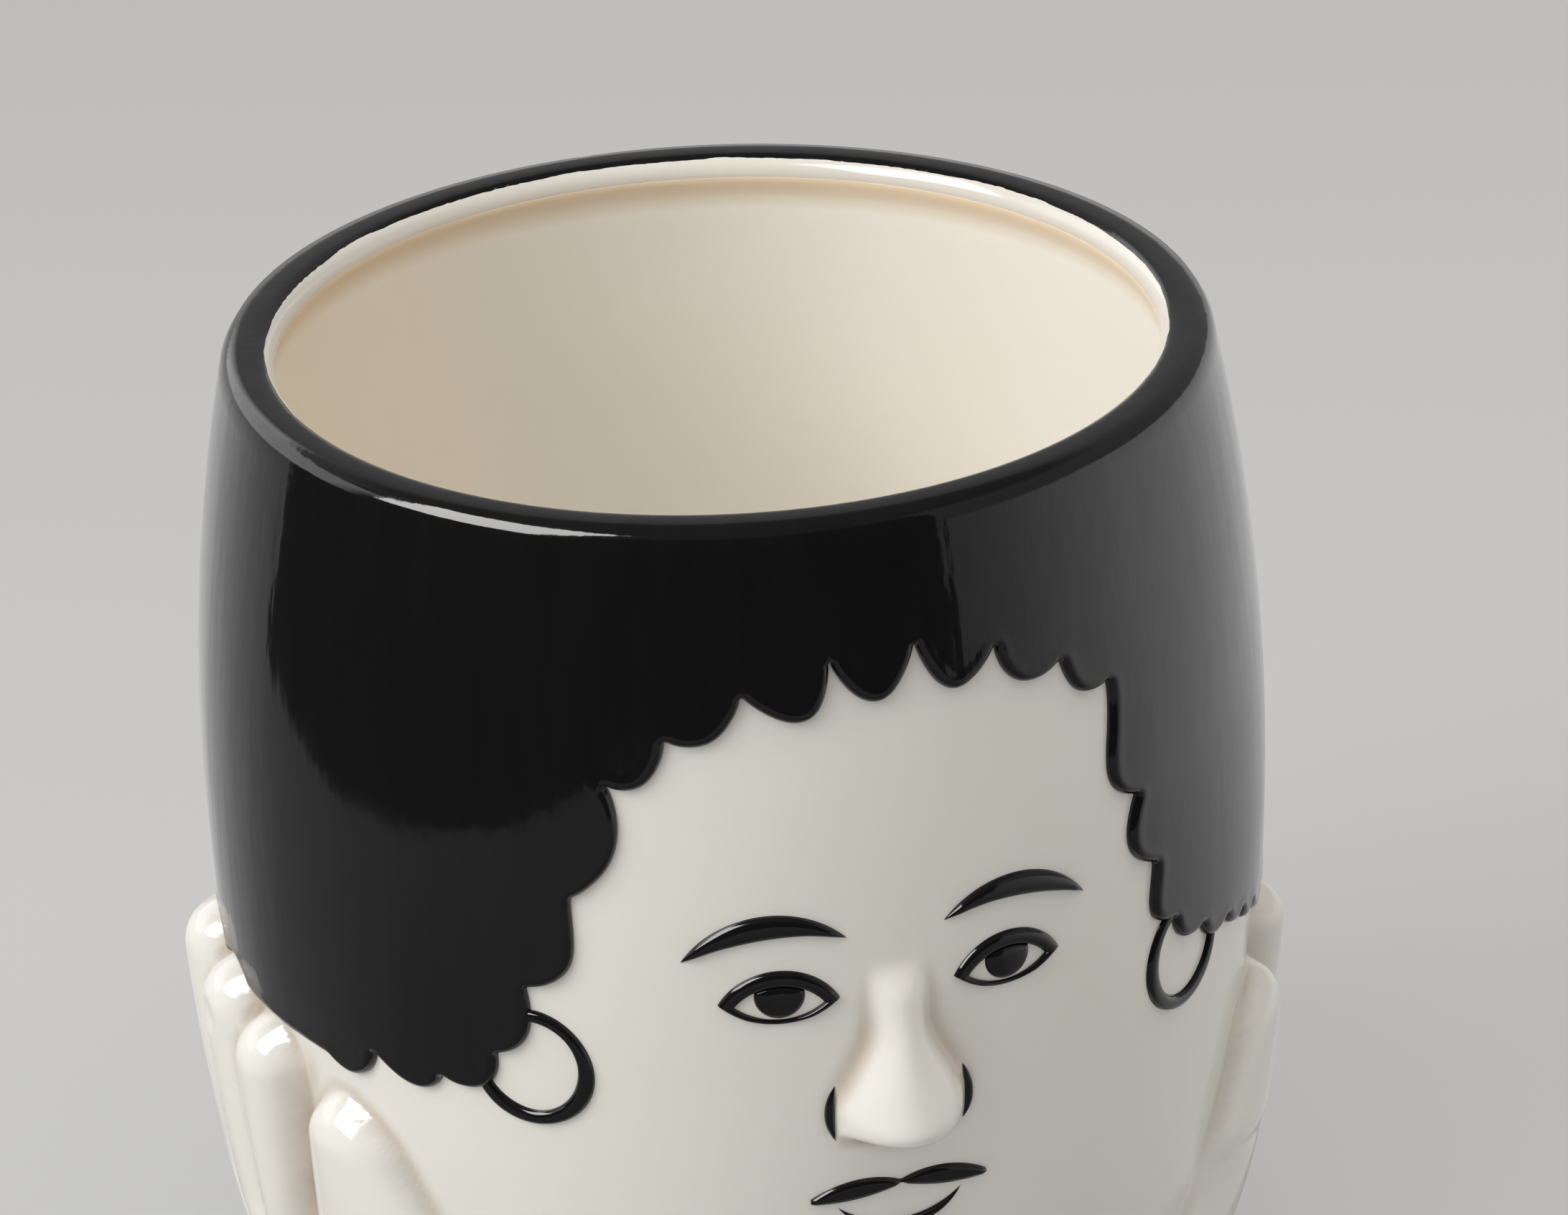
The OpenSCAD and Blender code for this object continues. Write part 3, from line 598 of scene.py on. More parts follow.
# The hair's outer skin, unrolled: v is the height up to the rounded edge of the rim, and from
# there the length over the edge and across the rim to the painted band's inner edge, BAND_END
# out from the lip's inside
BAND_END = 0.8
BAND_ARC = UPPER_ARC + HAIR_T
EDGE_CZ = POT_H - EDGE_R
EDGE_CX = UPPER_CX + math.sqrt((BAND_ARC - EDGE_R) ** 2 - (EDGE_CZ - BELLY_Z) ** 2)
EDGE_LEAN = math.asin((EDGE_CZ - BELLY_Z) / (BAND_ARC - EDGE_R))
EDGE_LOW_Z = EDGE_CZ + EDGE_R * math.sin(EDGE_LEAN)
OVER_EDGE = EDGE_R * (math.pi / 2 - EDGE_LEAN)
ACROSS_RIM = EDGE_CX - BEAD_CX
DOWN_BEAD = BEAD_R * (math.acos((LIP_IN_R + BAND_END - BEAD_CX) / BEAD_R) - math.pi / 2)
V_TOP = EDGE_LOW_Z + OVER_EDGE + ACROSS_RIM + DOWN_BEAD


def hair_skin(v, depth):
    """Radius and height of the point depth under the hair's outer skin."""
    low_v = np.minimum(v, EDGE_LOW_Z)
    arc = np.where(v > BELLY_Z, UPPER_ARC, LOWER_ARC)
    cx = np.where(v > BELLY_Z, UPPER_CX, LOWER_CX)
    out = np.sqrt((arc + HAIR_T) ** 2 - (low_v - BELLY_Z) ** 2)
    scale = (arc + (HAIR_T - depth)) / (arc + HAIR_T)
    wall_r = cx + out * scale
    wall_z = BELLY_Z + (low_v - BELLY_Z) * scale
    turn = EDGE_LEAN + np.clip(v - EDGE_LOW_Z, 0, OVER_EDGE) / EDGE_R
    edge_r = EDGE_CX + (EDGE_R - depth) * np.cos(turn)
    edge_z = EDGE_CZ + (EDGE_R - depth) * np.sin(turn)
    flat = np.clip(v - EDGE_LOW_Z - OVER_EDGE, 0, ACROSS_RIM)
    bead = np.maximum(0, v - EDGE_LOW_Z - OVER_EDGE - ACROSS_RIM) / BEAD_R
    top_r = EDGE_CX - flat - (BEAD_R - depth) * np.sin(bead)
    top_z = BEAD_CZ + (BEAD_R - depth) * np.cos(bead)
    below = v <= EDGE_LOW_Z
    on_edge = v <= EDGE_LOW_Z + OVER_EDGE
    return (np.where(below, wall_r, np.where(on_edge, edge_r, top_r)),
            np.where(below, wall_z, np.where(on_edge, edge_z, top_z)))


# Waves of a line drawn by hand, as number round the pot and share of the size, and the size for
# each of the hair's two edges
WAVES = [(7, 1.0), (11, 0.8), (19, 0.7), (31, 0.5), (53, 0.4), (97, 0.25)]
LOW_WOBBLE, TOP_WOBBLE = 0.22, 0.28
# A curl's points, how much they gather at the notches, and how full it is: less is fuller
CURL_POINTS = 34
CURL_GATHER = 0.6
CURL_FULLNESS = 0.72
# Notches of the hair's edge from the fringe back, as angle and height, with the bulge and the
# skew of the curl that follows each. The last one has no curl after it.
LEFT_CURLS = [
    (29.6, 131.0, 4.3, 1.0),
    (33.6, 113.2, 4.7, 1.5),
    (39.2, 98.0, 3.4, 1.2),
    (43.2, 86.0, 4.0, 0.9),
    (49.9, 80.0, 3.6, 0.75),
    (59.0, 80.0, 3.7, 0.95),
    (66.4, 75.6, 0, 1.0),
]
RIGHT_CURLS = [
    (27.4, 135.0, 4.4, 2.1),
    (30.7, 115.2, 4.1, 1.1),
    (33.2, 102.6, 3.8, 1.6),
    (36.6, 91.4, 3.0, 1.0),
    (42.4, 87.0, 3.0, 1.0),
    (48.4, 84.2, 2.4, 1.0),
    (53.6, 81.8, 2.6, 1.0),
    (58.4, 79.6, 4.0, 1.0),
    (67.4, 78.4, 3.4, 1.05),
    (78.7, 78.2, 3.3, 0.95),
    (88.8, 77.6, 2.9, 1.0),
    (98.5, 77.9, 3.0, 1.0),
    (108.6, 77.2, 2.2, 1.0),
]
# The curls of the fringe, as bulge and skew. The middle ones hang deepest.
FRINGE_SHAPES = [(3.4, 0.85), (3.6, 0.9), (7.0, 1.1), (7.6, 1.0), (6.6, 1.12), (4.6, 0.95),
                 (3.4, 1.2)]
BACK_FIRST = 117.0
BACK_CURLS = 10
BACK_BULGE = 5.9
BACK_Z = HAIR_Z + 0.8
# Degrees between the points of the level edge over the fingers, and over which it ends in BACK_Z
LEVEL_STEP = 0.35
LEVEL_TURN = 4
FINGER_GAP = 0.35


def wobble(s, size, seed):
    """A smooth hand-drawn deviation that closes round the pot."""
    turn = 2 * math.pi * s / (360 * DEGREE)
    return size * sum(share * np.sin(n * turn + seed * (n + 1.7)) for n, share in WAVES) / 2


def lobe(start, end, bulge, skew):
    """Points of one curl from notch to notch, bulging to the right of the way between them."""
    start, end = np.array(start), np.array(end)
    chord = end - start
    across = np.array([chord[1], -chord[0]]) / np.hypot(*chord)
    u = np.linspace(0, 1, CURL_POINTS)[:-1, None]
    u = mix(u, ease(u), CURL_GATHER)
    return start + chord * u + across * bulge * np.sin(math.pi * u**skew) ** CURL_FULLNESS


def fringe_notch(i):
    """Place of one notch of the fringe, along its arch."""
    u = 2 * i / FRINGE_CURLS - 1
    u = 1.2 * u - 0.2 * u**3
    x = (FACE_RIGHT_W - FACE_LEFT_W) / 2 + FACE_HALF_W * u
    z = POT_H - FRINGE_DROP - FRINGE_ARCH * u * u + FRINGE_SLOPE * u / 2
    return math.degrees(math.asin(x / float(wall(z)[0]))) * DEGREE, z


def clear_of_fingers(points, side):
    """Lifts the hair's edge over the fingertips where they reach up to it."""
    lifted = points.copy()
    radius = FINGER_R + FINGER_GAP
    for k in range(FIRST_FINGER, LAST_FINGER + 1):
        middle = (LINE_HIGH_ANGLES[k] + LINE_HIGH_ANGLES[k + 1]) / 2 * DEGREE
        off = np.abs(points[:, 0] - middle)
        arc = tip_z(k, side) - FINGER_R + np.sqrt(np.maximum(0, radius**2 - off**2))
        lifted[:, 1] = np.maximum(lifted[:, 1], np.where(off < radius, arc, 0))
    return lifted


def side_edge(side):
    """The hair's edge from the temple back to the middle of the back, on one side."""
    table = LEFT_CURLS if side < 0 else RIGHT_CURLS
    notches = [(angle * DEGREE, z) for angle, z, _, _ in table]
    shapes = [(bulge, skew) for _, _, bulge, skew in table]
    curls = [lobe(*ends, *shape) for *ends, shape in zip(notches, notches[1:], shapes)]
    level = np.arange(table[-1][0] + 0.4, BACK_FIRST, LEVEL_STEP)
    height = mix(table[-1][1], BACK_Z, ease((level - BACK_FIRST + LEVEL_TURN) / LEVEL_TURN))
    step = (360 - 2 * BACK_FIRST) / BACK_CURLS
    back = [((BACK_FIRST + i * step) * DEGREE, BACK_Z) for i in range(BACK_CURLS // 2 + 1)]
    points = np.concatenate([
        *curls,
        [notches[-1]],
        np.stack([level * DEGREE, height], axis=1),
        *[lobe(*ends, BACK_BULGE, 1.0) for ends in zip(back, back[1:])],
        [[HALF_TURN, BACK_Z]],
    ])
    return clear_of_fingers(points, side) * [side, 1]


def hair_edge():
    """The lower edge of the hair, once round the pot from the back, as unrolled points."""
    tops = [fringe_notch(i) for i in range(FRINGE_CURLS + 1)]
    fringe = [lobe(*ends, *shape) for *ends, shape in zip(tops, tops[1:], FRINGE_SHAPES)]
    points = np.concatenate([side_edge(-1)[::-1], *fringe, side_edge(1)])
    inner = slice(1, -1)
    points[inner, 1] += wobble(points[inner, 0], LOW_WOBBLE, 1.0)
    points[inner, 0] += wobble(points[inner, 0], LOW_WOBBLE, 2.3)
    return points


def even(points, step):
    """Points a step apart along a line of points."""
    gaps = np.hypot(*np.diff(points, axis=0).T)
    run = np.concatenate([[0], np.cumsum(gaps)])
    places = np.linspace(0, run[-1], max(2, int(run[-1] / step)))
    return np.stack([np.interp(places, run, points[:, i]) for i in range(2)], axis=1)


def soften(points, passes):
    """Rounds the corners of a line of points."""
    for _ in range(passes):
        points[1:-1] = (points[:-2] + 2 * points[1:-1] + points[2:]) / 4
    return points


def nearest(points):
    """A function that gives the distance of points to the nearest of these."""
    tree = KDTree(len(points))
    for i, p in enumerate(points):
        tree.insert((p[0], p[1], 0), i)
    tree.balance()
    return lambda queries: np.array([tree.find((q[0], q[1], 0))[2] for q in queries])


# Lengths between the points of the hair's two edges, and distances of the rings that follow them
LOW_STEP, TOP_STEP = 0.45, 1.3
RING_STEPS = np.array([0.1, 0.26, 0.5, 0.8, 1.15, 1.6, 2.2, 3.0])
# Length between the points inside, and the least distance that they keep from the edges
INNER_STEP = 2.0
INNER_GAP = 3.8
# Widths of the rounding at the lower edge and at the rim's inner edge
LOW_ROUND, TOP_ROUND = 1.1, 0.5
# A slight ridge of glaze beside the lower edge: height, distance from the edge and half width
RIDGE_H, RIDGE_OFF, RIDGE_W = 0.08, 1.4, 0.6


def edge_rings(line, inwards):
    """Lines of points that follow an edge, with the distance of each."""
    tangent = np.gradient(line, axis=0)
    normal = np.stack([-tangent[:, 1], tangent[:, 0]], axis=1) / np.hypot(*tangent.T)[:, None]
    return [((line + inwards * d * normal)[1:-1], d) for d in RING_STEPS]


def unrolled_hair():
    """The hair laid flat: its points, its faces and each point's distance to the nearer edge."""
    low = soften(even(hair_edge(), LOW_STEP), 3)
    top_s = np.linspace(-HALF_TURN, HALF_TURN, 1 + round(2 * HALF_TURN / TOP_STEP))
    top = np.stack([top_s, V_TOP - 0.1 + wobble(top_s, TOP_WOBBLE, 4.0)], axis=1)
    top[-1, 1] = top[0, 1]
    seam = np.concatenate([
        low[0, 1] + RING_STEPS,
        np.arange(low[0, 1] + 5, top[0, 1] - 4, INNER_STEP),
        top[0, 1] - RING_STEPS[::-1],
    ])
    to_low, to_top = nearest(even(low, 0.15)), nearest(even(top, 0.3))

    def to_edge(points):
        return np.minimum(to_low(points), to_top(points))

    loose = []
    for ring, d in edge_rings(low, 1) + edge_rings(top, -1):
        ring = ring[np.abs(ring[:, 0]) < HALF_TURN - 0.6]
        loose.append(ring[to_edge(ring) > 0.97 * d])
    grid = np.meshgrid(np.arange(-HALF_TURN + INNER_STEP, HALF_TURN - 1, INNER_STEP),
                       np.arange(68, V_TOP, INNER_STEP))
    inner = np.stack([g.ravel() for g in grid], axis=1)
    edge_v = np.interp(inner[:, 0], low[:, 0], low[:, 1])
    inner = inner[inner[:, 1] > edge_v - 12]
    inner = inner[to_edge(inner) > INNER_GAP]

    left_seam = np.stack([np.full(len(seam), -HALF_TURN), seam], axis=1)
    border = np.concatenate([low, left_seam * [-1, 1], top[::-1], left_seam[::-1]])
    edges = [(i, (i + 1) % len(border)) for i in range(len(border))]
    top_start = len(low) + len(seam)
    edge_points = set(range(len(low))) | set(range(top_start, top_start + len(top)))
    points = np.concatenate([border, *loose, inner])
    verts, _, faces, origins, _, _ = delaunay_2d_cdt(
        [Vector(p) for p in points], edges, [], 1, 1e-4)
    flat = np.array([v[:] for v in verts])
    distance = to_edge(flat)
    distance[[any(i in edge_points for i in origin) for origin in origins]] = 0
    return flat, faces, distance


def hair(material):
    """The raised black glaze: a closed skin whose edge is rounded as a thick glaze is."""
    flat, faces, distance = unrolled_hair()
    s, v = flat.T
    full = mix(HAIR_T + 0.02, PAINT_T, ease((v - EDGE_LOW_Z - OVER_EDGE) / ACROSS_RIM))
    width = mix(LOW_ROUND, TOP_ROUND, ease((v - EDGE_LOW_Z) / OVER_EDGE))
    profile = dome(1 - np.clip(distance / width, 0, 1))
    ridge = RIDGE_H * np.exp(-(((distance - RIDGE_OFF) / RIDGE_W) ** 2)) * (v < EDGE_LOW_Z)
    outer = around(s / DEGREE, *hair_skin(v, full * (1 - profile) + 0.12 - ridge))
    under = around(s / DEGREE, *hair_skin(v, full + 0.03))
    at_edge = distance == 0
    outer[at_edge] = under[at_edge]
    place = np.where(at_edge, 0, len(flat)) + np.arange(len(flat))
    all_faces = [tuple(f) for f in faces]
    all_faces += [tuple(int(place[i]) for i in reversed(f)) for f in faces]
    make_piece("black_hair", np.concatenate([outer, under]), all_faces, material, ("hair_cap",))


# The painted lines: points across one, its greatest height as a share of its width, how full its
# top is, how far its underside goes into the wall, and the heights of brows, lines and hoops
ACROSS = 9
LINE_H_SHARE = 0.62
LINE_FULLNESS = 0.8
LINE_SINK = 0.05
BROW_H, LINE_H, HOOP_H = 1.0, 0.8, 0.9
# A brow: width, rises of its upper and lower bow, and its turn in degrees
BROW_W = 1.36 * EYE_W
BROW_RISE, BROW_HOLLOW = 5.76, 2.16
BROW_TURN = -6
# How far the line round an eye is drawn in, and radius, place and height of an iris
LID_INSET = 1.5
IRIS_R = 0.21 * EYE_W
IRIS_Z = EYE_Z + 0.06 * EYE_W
IRIS_H = 0.75
# The upper lip's two halves, as width, rises above and below, and turn, and the lower lip
LIP_HALF_W, LIP_UP, LIP_DOWN = 0.86 * EYE_W, 0.13 * EYE_W, 0.07 * EYE_W
LIP_HALF_X = 0.4 * EYE_W
LIP_TURN = math.radians(7)
LOWER_LIP_W = 1.1 * EYE_W
# The lines beside the nose: length, rises of their two sides and gap to the nose
NOSE_LINE_L = 0.3 * THIRD_H
NOSE_LINE_RISES = (0.15, 1.6)
NOSE_LINE_GAP = 0.4
# A hoop: the place of its middle, and its two radii with a shift up and back that leaves the
# ring thicker below and in front
HOOP_ANGLE = 39
HOOP_Z = HAIR_Z + HAIR_DROP / 11
HOOP_RADII = ((7.4, 0.45), (9.5, 0.0))


def stroke_rows(low, high, height, place=on_face):
    """Rows of points across a raised line: over its round top and back under it."""
    width = np.hypot(*(high - low).T)[:, None]
    q = np.linspace(-1, 1, ACROSS)
    lift = np.minimum(height, LINE_H_SHARE * width) * dome(q)[None, :] ** LINE_FULLNESS
    flat = low[:, None, :] + (high - low)[:, None, :] * ((q + 1) / 2)[None, :, None]
    top = place(flat[..., 0], flat[..., 1], lift)
    under = place(flat[..., 0], flat[..., 1], np.full(lift.shape, -LINE_SINK))[:, ::-1]
    return np.concatenate([top, under], axis=1)


def stroke(name, low, high, height, node, material, closed=False, place=on_face):
    """A raised line of glaze between two lines of points, round on top and closed below."""
    rows = stroke_rows(low, high, height, place)
    cols = rows.shape[1]
    faces = grid_faces(len(rows), cols, wrap_rows=closed, wrap_cols=True)
    if not closed:
        faces.append(list(range(cols)))
        faces.append(list(range((len(rows) - 1) * cols, len(rows) * cols))[::-1])
    make_piece(name, rows, faces, material, (node,))


def bow(x, w, rise):
    """Height of a circular bow of width w above its chord."""
    r = (w * w / 4 + rise * rise) / (2 * rise)
    return np.sqrt(np.maximum(0, r * r - x * x)) + rise - r


def turned(points, degrees, centre):
    """Points turned about the origin and moved to a centre."""
    a = math.radians(degrees)
    x, z = points.T
    return np.stack([centre[0] + x * math.cos(a) - z * math.sin(a),
                     centre[1] + x * math.sin(a) + z * math.cos(a)], axis=1)


def brow(word, side, material):
    """A brow between two bows, of which the lower one flattens towards the temple."""
    x = np.linspace(-BROW_W / 2, BROW_W / 2, 46)
    lower = bow(x, BROW_W, BROW_HOLLOW) * mix(1, 0.8, x / BROW_W + 0.5)
    upper = bow(x, BROW_W, BROW_RISE)
    centre = (EYE_X + 0.1 * EYE_W, BROW_Z)
    lines = [turned(np.stack([x, z], 1), BROW_TURN, centre) * [side, 1] for z in (lower, upper)]
    stroke(f"{word}_brow_line", *lines, BROW_H, f"{word}_brow", material)


def lids(inset):
    """Width of an eye and the rises of its upper and lower lid, drawn in by an inset."""
    return EYE_W - 3 * inset, 0.3 * EYE_W - 1.4 * inset, 0.2 * EYE_W - 0.8 * inset


def eye_outline(word, side, material):
    """The line round an eye, from its inner to its outer loop."""
    turn = np.radians(np.linspace(0, 360, 97)[:-1])
    loops = []
    for inset in (LID_INSET, 0.0):
        w, up, down = lids(inset)
        x = w / 2 * np.cos(turn)
        z = np.where(turn <= math.pi, bow(x, w, up), -bow(x, w, down))
        loops.append(np.stack([EYE_X + x, EYE_Z - inset / 3 + z], 1) * [side, 1])
    stroke(f"{word}_eye_outline", *loops, LINE_H, f"{word}_eye_line", material, closed=True)


def iris(word, side, material):
    """A round iris that the upper lid cuts off, domed like a drop of glaze."""
    turn = np.radians(np.linspace(0, 360, 49)[:-1])
    share = np.linspace(0, 1, 9)
    x = IRIS_R * np.cos(turn)
    w, up, _ = lids(LID_INSET)
    lid = EYE_Z - LID_INSET / 3 + bow(x, w, up)
    z = np.minimum(IRIS_Z + IRIS_R * np.sin(turn), lid + 0.15)
    flat_x = side * (EYE_X + share[:, None] * x[None, :])
    flat_z = IRIS_Z + share[:, None] * (z - IRIS_Z)[None, :]
    lift = IRIS_H * dome(share)[:, None] ** 0.7 + 0 * flat_x
    top = on_face(flat_x, flat_z, lift)
    under = on_face(flat_x, flat_z, np.full(lift.shape, -LINE_SINK))[::-1]
    rows = np.concatenate([top, under])
    faces = grid_faces(len(rows), len(turn), wrap_cols=True)
    make_piece(f"{word}_iris_dot", rows, faces, material, (f"{word}_iris",))


def lips(material):
    """An upper lip of two halves that meet in the middle, and a curved line below it."""
    x = np.linspace(-0.78 * EYE_W, 0.78 * EYE_W, 70)
    off = np.abs(x) - LIP_HALF_X
    along = np.clip(off / math.cos(LIP_TURN), -LIP_HALF_W / 2, LIP_HALF_W / 2)
    middle = MOUTH_Z - off * math.tan(LIP_TURN)
    lower = middle - bow(along, LIP_HALF_W, LIP_DOWN)
    upper = middle + bow(along, LIP_HALF_W, LIP_UP)
    lines = [np.stack([x, z], 1) for z in (lower, upper)]
    stroke("upper_lip_line", *lines, LINE_H, "upper_lip", material)
    x = np.linspace(-LOWER_LIP_W / 2, LOWER_LIP_W / 2, 50)
    z = MOUTH_Z - LIP_UP
    lines = [np.stack([x, z - bow(x, LOWER_LIP_W, share * EYE_W)], 1) for share in (0.3, 0.2)]
    stroke("lower_lip_line", *lines, LINE_H, "lower_lip", material)


def nose_lines(material):
    """A line beside each wing of the nose, both in one piece."""
    z = np.linspace(-NOSE_LINE_L / 2, NOSE_LINE_L / 2, 30)
    up = NOSE_Z + 0.12 * THIRD_H + z
    out = float(nose_half_w(1.0)) + NOSE_LINE_GAP
    points, faces = [], []
    for side in (-1, 1):
        low, high = [np.stack([side * (out + bow(z, NOSE_LINE_L, rise)), up], 1)
                     for rise in NOSE_LINE_RISES]
        rows = stroke_rows(low, high, LINE_H)
        start = sum(len(p) for p in points)
        faces += [[start + i for i in f]
                  for f in grid_faces(len(rows), rows.shape[1], wrap_cols=True)]
        points.append(rows.reshape(-1, 3))
    make_piece("nose_side_lines", np.concatenate(points), faces, material, ("nose_wings",))


def face_lines(material):
    """Brows, eyes, lips and the lines beside the nose."""
    for side, word in SIDES:
        brow(word, side, material)
        eye_outline(word, side, material)
        iris(word, side, material)
    lips(material)
    nose_lines(material)


def hoops(material):
    """Round hoops that hang from under the hair."""
    turn = np.radians(np.linspace(0, 360, 121)[:-1])
    for side, word in SIDES:
        loops = []
        for radius, shift in HOOP_RADII:
            r = radius + 0.12 * np.sin(3 * turn + radius) + shift * np.cos(turn - math.pi / 4)
            s = side * (HOOP_ANGLE * DEGREE + r * np.cos(turn))
            loops.append(np.stack([s, HOOP_Z + r * np.sin(turn)], 1))
        stroke(f"{word}_hoop_line", *loops, HOOP_H, f"{word}_hoop", material, closed=True,
               place=on_wall)


# The camera, fitted to the rim's ellipse and the outline: degrees, and millimetres from the
# middle of the rim along the camera's own level axes
CAMERA_ANGLE = -16.5
CAMERA_PITCH = 25.482
CAMERA_ROLL = -2.1816
CAMERA_PLACE = (8.337, -920.143, 391.494)
FOCAL_PX = 9443.6
PHOTO_W = 2184
SENSOR_W = 36.0


def camera():
    """The camera of the photograph."""
    data = bpy.data.cameras.new("camera")
    data.sensor_fit = "HORIZONTAL"
    data.sensor_width = SENSOR_W
    data.lens = FOCAL_PX / PHOTO_W * SENSOR_W
    data.clip_start, data.clip_end = 0.05, 20
    turn = Matrix.Rotation(math.radians(CAMERA_ANGLE), 3, "Z")
    pitch, roll = math.radians(CAMERA_PITCH), math.radians(CAMERA_ROLL)
    right = turn @ Vector((1, 0, 0))
    up = turn @ Vector((0, math.sin(pitch), math.cos(pitch)))
    x_axis = math.cos(roll) * right + math.sin(roll) * up
    y_axis = -math.sin(roll) * right + math.cos(roll) * up
    z_axis = x_axis.cross(y_axis)
    shot = add_object("camera", data)
    shot.matrix_world = Matrix((x_axis, y_axis, z_axis)).transposed().to_4x4()
    shot.location = turn @ Vector(CAMERA_PLACE) * MM + Vector((0, 0, POT_H * MM))
    bpy.context.scene.camera = shot


def stage_mesh(name, points, faces, material):
    """A mesh in metres for the floor or the room round the pot, not attached to the pot."""
    mesh = bpy.data.meshes.new(name)
    mesh.from_pydata(points, [], faces)
    mesh.materials.append(material)
    stage = add_object(name, mesh)
    return stage


# What the gloss of the pot mirrors, as azimuth from the camera and brightness: a dark end of the
# room before the pot, and pale walls beside and behind it
ROOM = [(-180, 0.5), (-165, 0.52), (-142, 0.82), (-126, 0.64), (-113, 0.47), (-102, 0.33),
        (-40, 0.27), (44, 0.30), (48, 0.42), (60, 0.58), (75, 0.9), (93, 1.15), (118, 1.05),
        (140, 0.95), (165, 0.65), (180, 0.5)]
DARK_LEFT, DARK_RIGHT = -107.2, 48.0
DARK = 0.03
# Radius and height of the room in metres, and the brightness of its upper walls and its ceiling
ROOM_R = 2.2
ROOM_H = 2.2
HIGH_GLOW = 0.32
CEILING_GLOW = 0.12
# A bright band on the wall behind the left side: its heights and azimuths
BAND_Z = (0.55, 1.7)
BAND = [(-180, 0), (-164, 0), (-152, 1.0), (-96, 1.0), (-86, 0), (180, 0)]
BAND_GLOW = 1.8
# Height of the mirrored floor, and its brightness close to the pot, as a share, by azimuth
ROOM_FLOOR_Z = 0.002
NEAR = [(-180, 1.0), (-107, 1.0), (-60, 0.7), (30, 0.7), (48, 0.6), (180, 0.6)]
# Reach of the pale floor beside the dark end of the room, and half the degrees over which that
# end begins
PALE_REACH = 0.6
DARK_BLUR = 0.2


def dark_edge(azimuth):
    """Distance from the pot at which the dark floor starts, slanting across the left side."""
    a = np.radians(azimuth)
    slanted = 0.36 / np.maximum(0.05, np.cos(a + math.radians(73)))
    return np.minimum(slanted, 0.62 / np.maximum(0.05, np.cos(a - math.radians(10))))


def reflection_room():
    """A floor and a wall round the pot that only its gloss sees."""
    material, tree, shader = new_material("reflection_room")
    glow = tree.nodes.new("ShaderNodeAttribute")
    glow.attribute_name = "glow"
    feed(tree, shader, {"Base Color": (0, 0, 0, 1), "Specular IOR Level": 0,
                        "Emission Color": (1, 1, 1, 1), "Emission Strength": glow.outputs["Fac"]})
    changes = [end + off for end in (DARK_LEFT, DARK_RIGHT) for off in (-DARK_BLUR, DARK_BLUR)]
    azimuths = np.unique(np.concatenate([np.arange(-180, 181, 2.0), changes]))
    ambient = np.interp(azimuths, *zip(*ROOM))
    inside = (azimuths > DARK_LEFT) & (azimuths < DARK_RIGHT)
    near = np.where(inside, dark_edge(azimuths), PALE_REACH)
    share = np.interp(azimuths, *zip(*NEAR))
    far = np.where(inside, DARK, ambient)
    high = np.where(inside, DARK, HIGH_GLOW)
    band = mix(high, BAND_GLOW, np.interp(azimuths, *zip(*BAND)))
    ceiling = np.full(len(azimuths), CEILING_GLOW)
    rings = [(0.10, ROOM_FLOOR_Z, mix(share, 1, -0.15) * ambient),
             (0.20, ROOM_FLOOR_Z, share * ambient),
             (np.minimum(0.32, 0.85 * near), ROOM_FLOOR_Z, mix(share, 1, 0.75) * ambient),
             (near, ROOM_FLOOR_Z, ambient),
             (near + 0.004, ROOM_FLOOR_Z, far),
             (ROOM_R, ROOM_FLOOR_Z, far),
             (ROOM_R, 0.45, far),
             (ROOM_R, BAND_Z[0], band),
             (ROOM_R, BAND_Z[1], band),
             (ROOM_R, BAND_Z[1] + 0.15, high),
             (ROOM_R, ROOM_H, np.maximum(high, ceiling)),
             (0.7 * ROOM_R, ROOM_H, ceiling),
             (0.02, ROOM_H, ceiling)]
    points = np.concatenate([around(azimuths + CAMERA_ANGLE, r, z) for r, z, _ in rings])
    faces = grid_faces(len(rings), len(azimuths))
    room = stage_mesh("reflection_room", points.tolist(), faces, material)
    values = np.concatenate([ring_glow for _, _, ring_glow in rings]).astype(np.float32)
    room.data.attributes.new("glow", "FLOAT", "POINT").data.foreach_set("value", values)
    room.visible_camera = room.visible_diffuse = room.visible_shadow = False


# The floor as light meets it, and as the camera sees it: darker, with a glow that lessens over the
# length BEHIND, so that the shadow is faint
FLOOR_R = 12
FLOOR = (0.535, 0.535, 0.528)
SEEN_FLOOR = (0.275, 0.275, 0.273)
SEEN_GLOW = 0.3
SEEN_GLOW_BEHIND = 0.8 * SEEN_GLOW
BEHIND = 0.8
SKY = (1.0, 0.99, 0.97)
SKY_GLOW = 0.435


def floor():
    """A pale floor on which the shadow is faint."""
    material, tree, shader = new_material("floor")
    seen = tree.nodes.new("ShaderNodeLightPath").outputs["Is Camera Ray"]
    tone = blend_colours(tree, (*FLOOR, 1), (*SEEN_FLOOR, 1), seen)
    fade = map_range(tree, place_along(tree, "Y"), (0.0, BEHIND), (SEEN_GLOW, SEEN_GLOW_BEHIND),
                     smooth=True)
    glow = tree.nodes.new("ShaderNodeMath")
    glow.operation = "MULTIPLY"
    feed(tree, glow, {0: seen, 1: fade})
    feed(tree, shader, {"Base Color": tone, "Roughness": 1.0, "Specular IOR Level": 0,
                        "Emission Color": (1, 1, 1, 1), "Emission Strength": glow.outputs["Value"]})
    corners = [(x * FLOOR_R, y * FLOOR_R, 0) for x, y in ((-1, -1), (1, -1), (1, 1), (-1, 1))]
    stage_mesh("floor", corners, [(0, 1, 2, 3)], material)


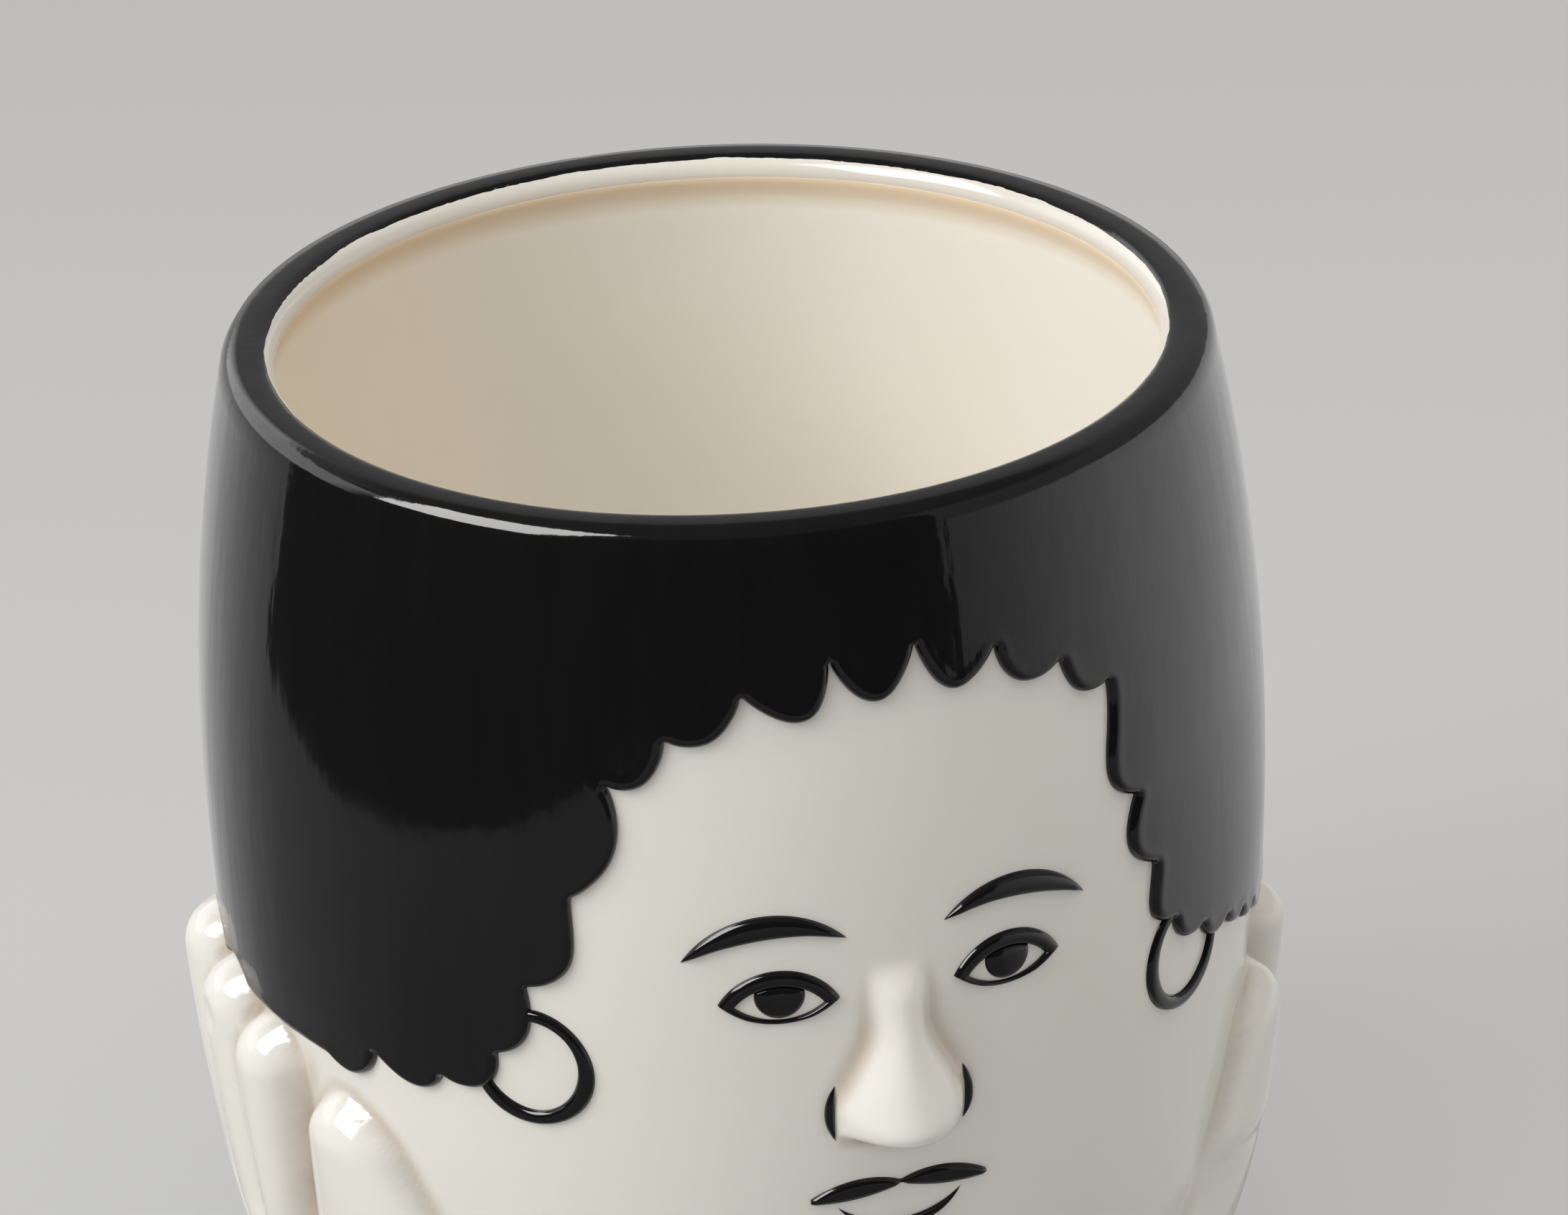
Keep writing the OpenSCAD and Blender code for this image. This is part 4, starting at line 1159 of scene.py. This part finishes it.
def area_light(name, azimuth, elevation, distance, width, height, watts, colour, lights):
    """A soft box that faces the pot, at an azimuth from the camera's. It lights the gloss alone
    or all but the gloss."""
    light = bpy.data.lights.new(name, "AREA")
    light.shape = "RECTANGLE"
    light.size, light.size_y = width, height
    light.energy = watts
    light.color = colour
    lamp = add_object(name, light)
    a, e = math.radians(azimuth + CAMERA_ANGLE), math.radians(elevation)
    towards = Vector((math.sin(a) * math.cos(e), -math.cos(a) * math.cos(e), math.sin(e)))
    target = Vector((0, 0, 0.5 * POT_H * MM))
    lamp.location = target + distance * towards
    lamp.rotation_mode = "QUATERNION"
    lamp.rotation_quaternion = (-towards).to_track_quat("-Z", "Y")
    lamp.visible_glossy = lights == "gloss"
    lamp.visible_diffuse = lights == "matt"


def studio():
    """The floor, the room that the gloss mirrors, and soft light."""
    floor()
    reflection_room()
    world = bpy.data.worlds.new("world")
    bpy.context.scene.world = world
    world.use_nodes = True
    tree = world.node_tree
    feed(tree, tree.nodes["Background"], {"Color": (*SKY, 1), "Strength": SKY_GLOW})
    area_light("key", -65, 40, 1.6, 0.9, 0.8, 11.9, (1, 0.985, 0.96), "matt")
    area_light("glint", -63, 45, 1.3, 0.9, 0.78, 25.0, (1, 0.99, 0.98), "gloss")
    area_light("left_fill", -64, 24, 2.8, 3.0, 2.0, 26.0, (1, 0.985, 0.96), "matt")
    area_light("right_fill", 92, 48, 2.2, 1.5, 1.2, 7.2, (1, 0.9, 0.77), "matt")
    area_light("top_fill", 5, 76, 2.4, 1.6, 1.6, 14.0, (1, 0.985, 0.95), "matt")


bpy.context.scene.view_settings.view_transform = "Standard"
camera()
studio()
black = black_glaze()
pot_body(white_glaze())
lining(cream_glaze())
hair(black)
face_lines(black)
hoops(black)
ceramic = grained("bare_ceramic", BODY, (1200, 4), 0.85, (1600, 3), 0.03)
rubber = grained("plug_rubber", RUBBER, (400, 3), 0.6, (2500, 2), 0.02)
for node, material in (("foot_ring", ceramic), ("drain_plug", rubber)):
    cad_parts[node].data.materials.clear()
    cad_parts[node].data.materials.append(material)
